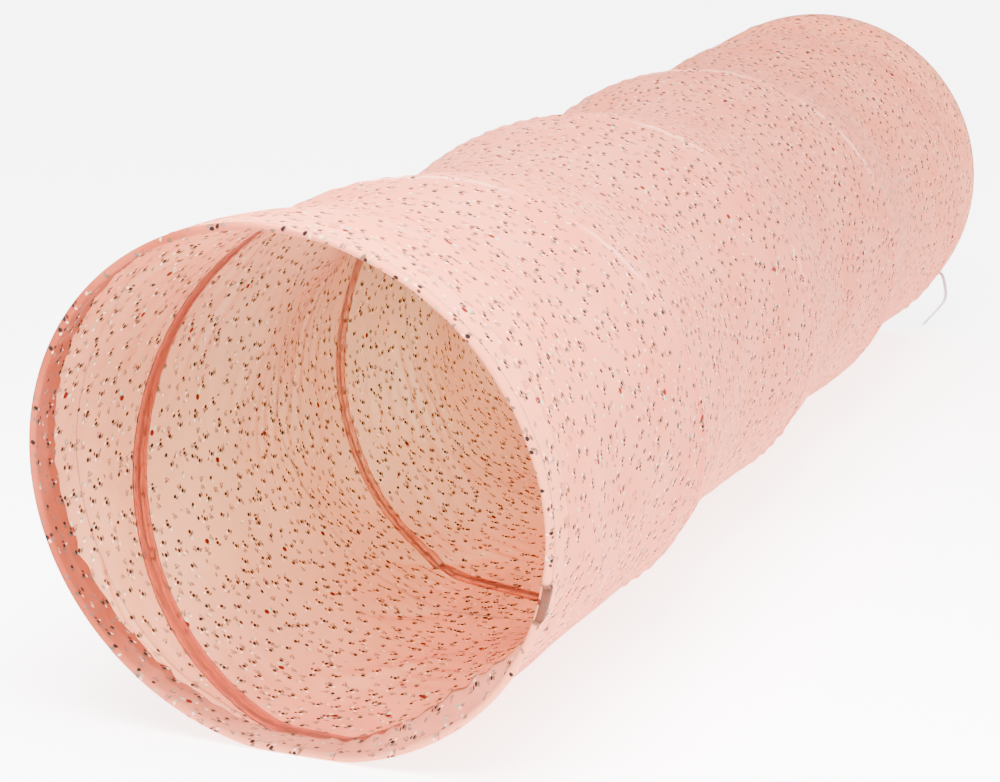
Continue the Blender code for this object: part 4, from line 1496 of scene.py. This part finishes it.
@dataclass(frozen=True)
class WireFrame:
    """The hoops, the coil and the sleeves that join them."""

    form: TunnelForm
    relief: ClothRelief
    sides: int = 12
    steps_per_turn: int = 180
    end_gap: float = 0.0010
    sleeve_length: float = 0.031
    sleeve_wall: float = 0.0008
    near_sleeve: float = math.radians(105.0)

    @property
    def far_sleeve(self) -> float:
        """Angle of the far sleeve, half a step past the coil's end."""
        return (self.form.coil_start + math.tau * self.form.coil_turns + math.radians(5.0)) % math.tau

    def coil_points(self, low: float, high: float) -> Array:
        """Return points along the coil between two counts of turns."""
        count = max(3, int((high - low) * self.steps_per_turn))
        turns = np.linspace(low, high, count)
        angle = self.form.coil_start + math.tau * turns
        station = self.form.coil_station(np.clip(turns, 0.0, self.form.coil_turns))
        radius = self.relief.radius(angle, station)
        return self.form.points(angle, station, radius, self.form.wire_depth(station))

    def turn_at(self, station: float) -> float:
        """Return the count of turns at which the coil passes a station."""
        turns = np.linspace(0.0, self.form.coil_turns, 20001)
        return float(np.interp(station, self.form.coil_station(turns), turns))

    def hoop_points(self, mouth: Mouth, sleeve: float) -> Array:
        """Return points round a hoop, from one side of its joint to the other."""
        form = self.form
        gap = self.end_gap / 2.0 / form.hoop_radius
        angle = np.linspace(sleeve + gap, sleeve + math.tau - gap, 361)
        station = form.station_from(mouth, form.hoop_station)
        return form.points(angle, station, form.hoop_radius, form.depth_in_hem)

    def make(self, finishes: Finishes) -> list[bpy.types.Object]:
        """Draw every wire and put the sleeves on.

        Args:
            finishes: The tunnel's materials.

        Returns:
            The pieces.
        """
        form, tree = self.form, wire_tree()
        values = {"Wire Radius": form.wire_radius, "Sides": self.sides, "Material": finishes.wire}
        lead_end, tail_start = self.turn_at(form.collar_end), self.turn_at(form.length - form.hem_width)
        near_end, far_end = Fold(Mouth.NEAR.body), Fold(Mouth.FAR.body)
        folding = Fold(Mouth.NEAR.body, "collapse_turn_1", form.near_y + form.collar_end, form.keep)
        reach = math.radians(5.0) / math.tau
        jobs = (
            ("hoop_near_wire", self.hoop_points(Mouth.NEAR, self.near_sleeve), "front_hoop", near_end),
            ("hoop_far_wire", self.hoop_points(Mouth.FAR, self.far_sleeve), "rear_hoop", far_end),
            ("coil_lead_wire", self.coil_points(-reach, lead_end), "coil_spring", near_end),
            ("coil_wire", self.coil_points(lead_end, tail_start), "coil_spring", folding),
            ("coil_tail_wire", self.coil_points(tail_start, form.coil_turns + reach), None, far_end),
        )
        made = []
        for name, points, node, fold in jobs:
            piece = grown(path_mesh(name, [(points, False)]), tree, values)
            if node is not None:
                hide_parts(node)
            fold.fasten(piece, form)
            made.append(piece)
        return made + [self.sleeve(Mouth.NEAR, self.near_sleeve, finishes),
                       self.sleeve(Mouth.FAR, self.far_sleeve, finishes)]

    def sleeve(self, mouth: Mouth, angle: float, finishes: Finishes) -> bpy.types.Object:
        """Build a pressed sleeve round a hoop's ends and the coil's end.

        Args:
            mouth: Which end of the tunnel.
            angle: The sleeve's middle, round the mouth.
            finishes: The tunnel's materials.

        Returns:
            The piece.
        """
        form = self.form
        steps, corners = 40, 24
        share = np.linspace(-1.0, 1.0, steps)[:, None]
        ring = np.linspace(0.0, math.tau, corners, endpoint=False)
        half = self.sleeve_length / 2.0
        skin = form.wire_radius + self.sleeve_wall
        pressed = 0.72 + 0.28 * np.abs(np.cos(2.5 * math.pi * share)) ** 0.5
        rounded = np.sqrt(np.clip(1.0 - np.clip((np.abs(share) - 0.96) / 0.05, 0.0, 1.0) ** 2, 0.0, 1.0))
        middle_station = form.hoop_station + form.wire_spacing / 2.0
        across = form.wire_spacing / 2.0 * np.sign(np.cos(ring)) + skin * np.cos(ring)
        station = form.station_from(mouth, middle_station + across * (0.85 + 0.15 * rounded))
        inset = form.depth_in_hem + skin * np.sin(ring) * pressed * (0.7 + 0.3 * rounded)
        points = form.points(angle + share * half / form.hoop_radius, station, form.hoop_radius, inset)
        faces = swept_faces(steps, corners)
        if mouth is Mouth.NEAR:
            faces = [face[::-1] for face in faces]
        piece = mesh_object(f"sleeve_{mouth.value}_steel", points, faces)
        piece.data.set_sharp_from_angle(angle=CRISP)
        piece.data.materials.append(finishes.sleeve)
        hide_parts(f"{mouth.side}_ferrule")
        Fold(mouth.body).fasten(piece, form)
        return piece


@dataclass(frozen=True)
class CasingTape:
    """The plain tape sewn inside the cloth over the coil."""

    form: TunnelForm
    wires: WireFrame
    half_width: float = 0.0105
    thickness: float = 0.0006
    stitch_line: float = 0.0084
    hump_half: float = 0.0036
    clearance: float = 0.0003
    steps_per_turn: int = 300

    def across_profile(self) -> tuple[Array, Array]:
        """Return the tape's cross line: how far across, and how far it stands in over the cloth."""
        beside = np.array([0.7, 1.5, 2.3, 3.2, 4.2, 5.4, 7.0, 8.4, 9.4, 10.5]) / 10.5 * self.half_width
        across = np.concatenate([-beside[::-1], [0.0], beside])
        crest = self.form.depth_in_bay + self.form.wire_radius + self.clearance - self.form.cloth
        flat = self.clearance
        rise = flat + (crest - flat) * smooth(1.0 - (np.abs(across) - 0.0009) / (self.hump_half + 0.0015))
        dip = 0.00012 * bell((np.abs(across) - self.stitch_line) / 0.0007)
        return across, rise - dip

    def surface(self, turns: Array, across: Array, inset: Array) -> Array:
        """Place points of the tape on the inside of the cloth.

        Args:
            turns: Turns along the coil.
            across: Distances across the tape.
            inset: Depths inside the cloth's outer face.

        Returns:
            The points.
        """
        form = self.form
        slope = form.slope
        middle = form.coil_start + math.tau * turns
        angle = middle - across * math.sin(slope) / form.coil_radius
        y = form.leaned(middle, form.coil_station(turns)) + across * math.cos(slope)
        station = form.station_at(angle, y)
        radius = self.wires.relief.radius(angle, station)
        return form.points(angle, station, radius, inset)

    def make(self, finishes: Finishes) -> list[bpy.types.Object]:
        """Build the tape bay by bay, with its ends tucked under the hems.

        Args:
            finishes: The tunnel's materials.

        Returns:
            The pieces.
        """
        form, wires = self.form, self.wires
        cuts = [wires.turn_at(form.hem_width - 0.004), wires.turn_at(form.collar_end)]
        for bay in range(1, form.bay_count):
            cuts.append(wires.turn_at(form.collar_end + bay * form.bay_length))
        cuts.append(wires.turn_at(form.length - form.hem_width))
        cuts.append(wires.turn_at(form.length - form.hem_width + 0.004))
        names = ["tape_lead", *(f"tape_bay_{bay}" for bay in range(1, form.bay_count + 1)), "tape_tail"]
        made = []
        for index, name in enumerate(names):
            piece = self.length_of_tape(name, cuts[index], cuts[index + 1])
            piece.data.materials.append(finishes.tape)
            if 0 < index <= form.bay_count:
                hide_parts(f"casing_tape_{index}")
                bay_fold(form, index).fasten(piece, form)
            else:
                Fold((Mouth.FAR if index else Mouth.NEAR).body).fasten(piece, form)
            made.append(piece)
        return made

    def length_of_tape(self, name: str, low: float, high: float) -> bpy.types.Object:
        """Build one length of tape as a thin closed strip.

        Args:
            name: Name of the piece.
            low: Turns at its start.
            high: Turns at its end.

        Returns:
            The piece.
        """
        form = self.form
        across, rise = self.across_profile()
        turns = np.linspace(low, high, max(4, int((high - low) * self.steps_per_turn)))[:, None]
        top = self.surface(turns, across, form.cloth + rise + self.thickness)
        under = self.surface(turns, across, form.cloth + rise)
        loop = np.concatenate([top, under[:, ::-1]], axis=1)
        steps, corners = loop.shape[:2]
        piece = mesh_object(name, loop, swept_faces(steps, corners, strip=True))
        run = math.tau * form.coil_radius / math.cos(form.slope)
        around = np.concatenate([across, across[::-1]])
        set_uv_by_point(piece, np.stack(np.broadcast_arrays(turns * run, around), axis=-1))
        from_mouth = form.from_mouth(form.coil_station(turns))
        # Painted light: how far the tape is painted lighter, growing away from the mouths.
        set_values(piece, {"deep": np.repeat(smooth((from_mouth - 0.18) / 0.25), corners)})
        return piece


@dataclass(frozen=True)
class Stitching:
    """The rows of lockstitch beside the coil and along the hems."""

    form: TunnelForm
    relief: ClothRelief
    tape: CasingTape
    pitch: float = 0.0032
    stitch: float = 0.0024
    thread: float = 0.00030
    hem_row: float = 0.0355
    casing_row: float = 0.0088
    casing_inset: float = 0.0004
    steps_per_turn: int = 240

    def make(self, finishes: Finishes) -> list[bpy.types.Object]:
        """Sew every row, one piece for each body.

        Args:
            finishes: The tunnel's materials.

        Returns:
            The pieces.
        """
        form, tree = self.form, stitch_tree()
        values = {"Pitch": self.pitch, "Stitch Length": self.stitch, "Thread Radius": self.thread,
                  "Material": finishes.thread}
        made = []
        for bay in range(1, form.bay_count + 1):
            start = form.collar_end + (bay - 1) * form.bay_length
            paths = self.tape_rows(start, start + form.bay_length)
            piece = grown(path_mesh(f"stitches_bay_{bay}", paths), tree, {**values, "Seed": bay})
            bay_fold(form, bay).fasten(piece, form)
            made.append(piece)
        for seed, mouth in enumerate(Mouth):
            piece = grown(path_mesh(f"stitches_hem_{mouth.value}", self.hem_rows(mouth)), tree,
                          {**values, "Seed": 20 + seed})
            Fold(mouth.body).fasten(piece, form)
            made.append(piece)
        return made

    def hem_rows(self, mouth: Mouth) -> list[tuple[Array, bool]]:
        """Return the paths of the rows beside the hoop and at the inner edge of a hem."""
        form = self.form
        angle = np.linspace(0.0, math.tau, 3 * self.steps_per_turn, endpoint=False)
        rows = []
        for from_mouth, inset in ((self.casing_row, self.casing_inset), (self.hem_row, 0.0)):
            station = form.station_from(mouth, from_mouth)
            out = self.relief.outward(angle, station) * smooth(from_mouth / 0.012)
            rows.append((self.laid(form.points(angle, station, form.hoop_radius + out, inset)), True))
        return rows

    def laid(self, points: Array) -> Array:
        """Keep a row's thread on top of the floor."""
        points[..., 2] = np.maximum(points[..., 2], 1.4 * self.thread)
        return points

    def tape_rows(self, start: float, end: float) -> list[tuple[Array, bool]]:
        """Return the paths of the rows on both faces of the cloth between two stations."""
        low, high = self.tape.wires.turn_at(start), self.tape.wires.turn_at(end)
        turns = np.linspace(low, high, max(4, int((high - low) * self.steps_per_turn)))
        inner = self.form.cloth + self.tape.clearance + self.tape.thickness
        rows = []
        for side in (-1.0, 1.0):
            for depth in (inner, 0.0):
                row = self.tape.surface(turns, side * self.tape.stitch_line, depth)
                rows.append((self.laid(row), False))
        return rows


@dataclass(frozen=True)
class TieRibbon:
    """The narrow ribbon that ties the folded tunnel, hanging from the far hem."""

    width: float = 0.0060
    thickness: float = 0.0006
    length: float = 0.138
    start: tuple[float, float, float] = (0.2053, 0.9043, 0.0982)
    steps: int = 60
    broad_way: tuple[float, float, float] = (0.62, 0.78, 0.0)
    route: tuple[tuple[float, float, float], ...] = (
        (0.0000, 0.0000, 0.0000),
        (0.0030, 0.0002, -0.0025),
        (0.0055, 0.0007, -0.0080),
        (0.0082, 0.0027, -0.0201),
        (0.0092, 0.0067, -0.0332),
        (0.0060, 0.0137, -0.0458),
        (-0.0029, 0.0237, -0.0587),
        (-0.0122, 0.0357, -0.0706),
        (-0.0222, 0.0507, -0.0826),
        (-0.0337, 0.0697, -0.0979),
    )

    def line(self) -> list[Vector]:
        """Return the ribbon's middle line as a smooth run of points."""
        stops = [Vector(self.start) + Vector(step) for step in self.route]
        stops = [Vector((p.x, p.y, max(p.z, self.thickness / 2.0))) for p in stops]
        line = []
        for step in range(self.steps + 1):
            place = step / self.steps * (len(stops) - 1)
            index = min(int(place), len(stops) - 2)
            part = place - index
            a, b = stops[max(index - 1, 0)], stops[index]
            c, d = stops[index + 1], stops[min(index + 2, len(stops) - 1)]
            line.append(0.5 * (2 * b + (c - a) * part + (2 * a - 5 * b + 4 * c - d) * part**2
                               + (3 * b - a - 3 * c + d) * part**3))
        return line

    def make(self, finishes: Finishes) -> bpy.types.Object:
        """Args:
            finishes: The tunnel's materials.

        Returns:
            The ribbon.
        """
        line = self.line()
        points, flat = [], []
        run = 0.0
        half, thick = self.width / 2.0, self.thickness / 2.0
        outline = ((-half, 0.0), (-half * 0.94, -thick), (half * 0.94, -thick), (half, 0.0),
                   (half * 0.94, thick), (-half * 0.94, thick))
        for index, centre in enumerate(line):
            before, after = line[max(index - 1, 0)], line[min(index + 1, self.steps)]
            along = (after - before).normalized()
            across = Vector(self.broad_way)
            across = (across - along * along.dot(across)).normalized()
            lift = along.cross(across).normalized()
            run += (centre - line[index - 1]).length if index else 0.0
            for x, z in outline:
                point = centre + across * x + lift * z
                points.append((point.x, point.y, max(point.z, 0.0)))
                flat.append((run, x))
        ribbon = mesh_object("tie_ribbon_weave", points, swept_faces(len(line), len(outline)))
        ribbon.data.set_sharp_from_angle(angle=CRISP)
        ribbon.data.materials.append(finishes.ribbon)
        set_uv_by_point(ribbon, flat)
        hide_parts("tie_ribbon")
        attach(ribbon, Mouth.FAR.body)
        return ribbon


@dataclass(frozen=True)
class Studio:
    """The camera, the soft lights and the paper sweep."""

    place: tuple[float, float, float] = (0.8276, -2.5488, 0.82055)
    azimuth: float = 0.3677
    elevation: float = 0.2575
    roll: float = 0.0022
    lens: float = 84.24
    world: float = 1.2
    overhead: float = 6.0
    overhead_angle: float = 100.0
    overhead_from: tuple[float, float, float] = (0.25, -0.1, 1.0)
    key: float = 170.0
    key_size: float = 1.2
    key_place: tuple[float, float, float] = (0.3, -1.15, 1.55)
    key_aim: tuple[float, float, float] = (0.0, -0.55, 0.2)
    paper_half: float = 30.0

    def camera(self) -> None:
        """Put the camera at the photograph's place."""
        a, e = self.azimuth, self.elevation
        forward = Vector((-math.sin(a) * math.cos(e), math.cos(a) * math.cos(e), -math.sin(e)))
        right = Vector((math.cos(a), math.sin(a), 0.0))
        up = right.cross(forward)
        right = right * math.cos(self.roll) + up * math.sin(self.roll)
        up = right.cross(forward)
        data = bpy.data.cameras.new("camera")
        data.lens, data.sensor_width = self.lens, 36.0
        camera = bpy.data.objects.new("camera", data)
        turned = Matrix((right, up, -forward)).transposed().to_4x4()
        camera.matrix_world = Matrix.Translation(self.place) @ turned
        bpy.context.scene.collection.objects.link(camera)
        bpy.context.scene.camera = camera

    def lights(self) -> None:
        """Light the room evenly, with a very broad soft light from above and one over the near mouth."""
        overhead = bpy.data.lights.new("overhead", "SUN")
        overhead.energy, overhead.angle = self.overhead, math.radians(self.overhead_angle)
        hung = bpy.data.objects.new("overhead", overhead)
        hung.rotation_euler = Vector(self.overhead_from).to_track_quat("Z", "Y").to_euler()
        key = bpy.data.lights.new("key", "AREA")
        key.size, key.energy = self.key_size, self.key
        stood = bpy.data.objects.new("key", key)
        stood.visible_camera = False
        stood.location = self.key_place
        direction = Vector(self.key_aim) - Vector(self.key_place)
        stood.rotation_euler = direction.to_track_quat("-Z", "Y").to_euler()
        for light in (hung, stood):
            bpy.context.scene.collection.objects.link(light)
        world = bpy.data.worlds.new("room")
        world.use_nodes = True
        shade = world.node_tree.nodes["Background"]
        shade.inputs["Color"].default_value = linear("FFFDFB")
        shade.inputs["Strength"].default_value = self.world
        bpy.context.scene.world = world

    def paper(self, finishes: Finishes) -> None:
        """Lay the paper on the floor."""
        half = self.paper_half
        corners = [(-half, -half, 0.0), (half, -half, 0.0), (half, half, 0.0), (-half, half, 0.0)]
        floor = mesh_object("floor", np.array(corners), [(0, 1, 2, 3)])
        floor.data.materials.append(finishes.paper)


@dataclass(frozen=True)
class RibbonTab:
    """The ribbon's folded end, sewn flat on the far hem."""

    root: tuple[float, float, float] = (0.20383, 0.9043, 0.09923)
    round_degrees: float = 125.0
    length: float = 0.016
    width: float = 0.009
    lift: float = 0.0003
    height: float = 0.0012
    layer: float = 0.00045
    sewn_half: float = 0.0055
    edge_margin: float = 0.0016
    pitch: float = 0.0024
    stitch: float = 0.0019
    thread: float = 0.00022
    columns: int = 13

    def chains(self) -> tuple[Array, Array]:
        """Return the outer and the inner line of the folded ribbon, along it and up from the hem."""
        bend = self.height / 2.0
        end, middle = self.length / 2.0 - bend, self.lift + bend
        run = np.linspace(-self.length / 2.0, end, 12)[:-1]
        turn = np.linspace(-math.pi / 2.0, math.pi / 2.0, 9)
        chains = []
        for radius in (bend, bend - self.layer):
            low = np.stack([run, np.full(run.shape, middle - radius)], axis=-1)
            arc = np.stack([end + radius * np.cos(turn), middle + radius * np.sin(turn)], axis=-1)
            high = np.stack([run[::-1], np.full(run.shape, middle + radius)], axis=-1)
            chains.append(np.concatenate([low, arc, high]))
        return chains[0], chains[1]

    def make(self, finishes: Finishes) -> list[bpy.types.Object]:
        """Build the folded end and the small box of stitches that holds it.

        Args:
            finishes: The tunnel's materials.

        Returns:
            The pieces.
        """
        turn = math.radians(self.round_degrees)
        outward, along = np.array([math.sin(turn), 0.0, math.cos(turn)]), np.array([0.0, 1.0, 0.0])
        across = np.cross(along, outward)
        outer, inner = self.chains()
        aside = np.linspace(-self.width / 2.0, self.width / 2.0, self.columns)
        loop = np.concatenate([outer, inner[::-1]])
        points = (np.array(self.root) + aside[:, None, None] * across
                  + loop[None, :, :1] * along + loop[None, :, 1:] * outward)
        piece = mesh_object("ribbon_tab_weave", points, swept_faces(self.columns, len(loop), strip=True))
        run = np.concatenate([[0.0], np.cumsum(np.hypot(*np.diff(outer, axis=0).T))])
        around = np.concatenate([run, run[::-1]])
        set_uv_by_point(piece, np.stack(np.broadcast_arrays(around, aside[:, None]), axis=-1))
        piece.data.set_sharp_from_angle(angle=CRISP)
        piece.data.materials.append(finishes.ribbon)
        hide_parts("ribbon_tab")
        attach(piece, Mouth.FAR.body)
        top = self.lift + self.height
        half_run, half_side = self.sewn_half, self.width / 2.0 - self.edge_margin
        box = [np.array(self.root) + along * s * half_run + across * t * half_side + outward * top
               for s, t in ((-1, -1), (1, -1), (1, 1), (-1, 1))]
        path = np.concatenate([np.linspace(box[side], box[(side + 1) % 4], 6)[:-1] for side in range(4)])
        values = {"Pitch": self.pitch, "Stitch Length": self.stitch, "Thread Radius": self.thread,
                  "Material": finishes.thread, "Seed": 31}
        sewn = grown(path_mesh("stitches_ribbon_tab", [(path, True)]), stitch_tree(), values)
        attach(sewn, Mouth.FAR.body)
        return [piece, sewn]


def main() -> None:
    """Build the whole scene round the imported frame."""
    logging.basicConfig(level=logging.INFO, format="%(message)s")
    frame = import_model()
    LOG.info("frame: %d nodes", len(frame["nodes"]))
    form = TunnelForm()
    relief = ClothRelief(form)
    studio = Studio()
    studio.camera()
    finishes = Finishes.made()
    pieces = [TieRibbon().make(finishes)]
    wires = WireFrame(form, relief)
    pieces += wires.make(finishes)
    pieces.append(Hem(form, relief, Mouth.NEAR, wires.near_sleeve).make(finishes))
    pieces.append(Hem(form, relief, Mouth.FAR, wires.far_sleeve).make(finishes))
    pieces += ClothTube(form, relief).make(finishes)
    tape = CasingTape(form, wires)
    pieces += tape.make(finishes)
    pieces += Stitching(form, relief, tape).make(finishes)
    pieces += RibbonTab().make(finishes)
    for piece in pieces:
        LOG.info("piece %s: %d faces", piece.name, len(piece.data.polygons))
    studio.lights()
    studio.paper(finishes)


if __name__ == "__main__":
    main()
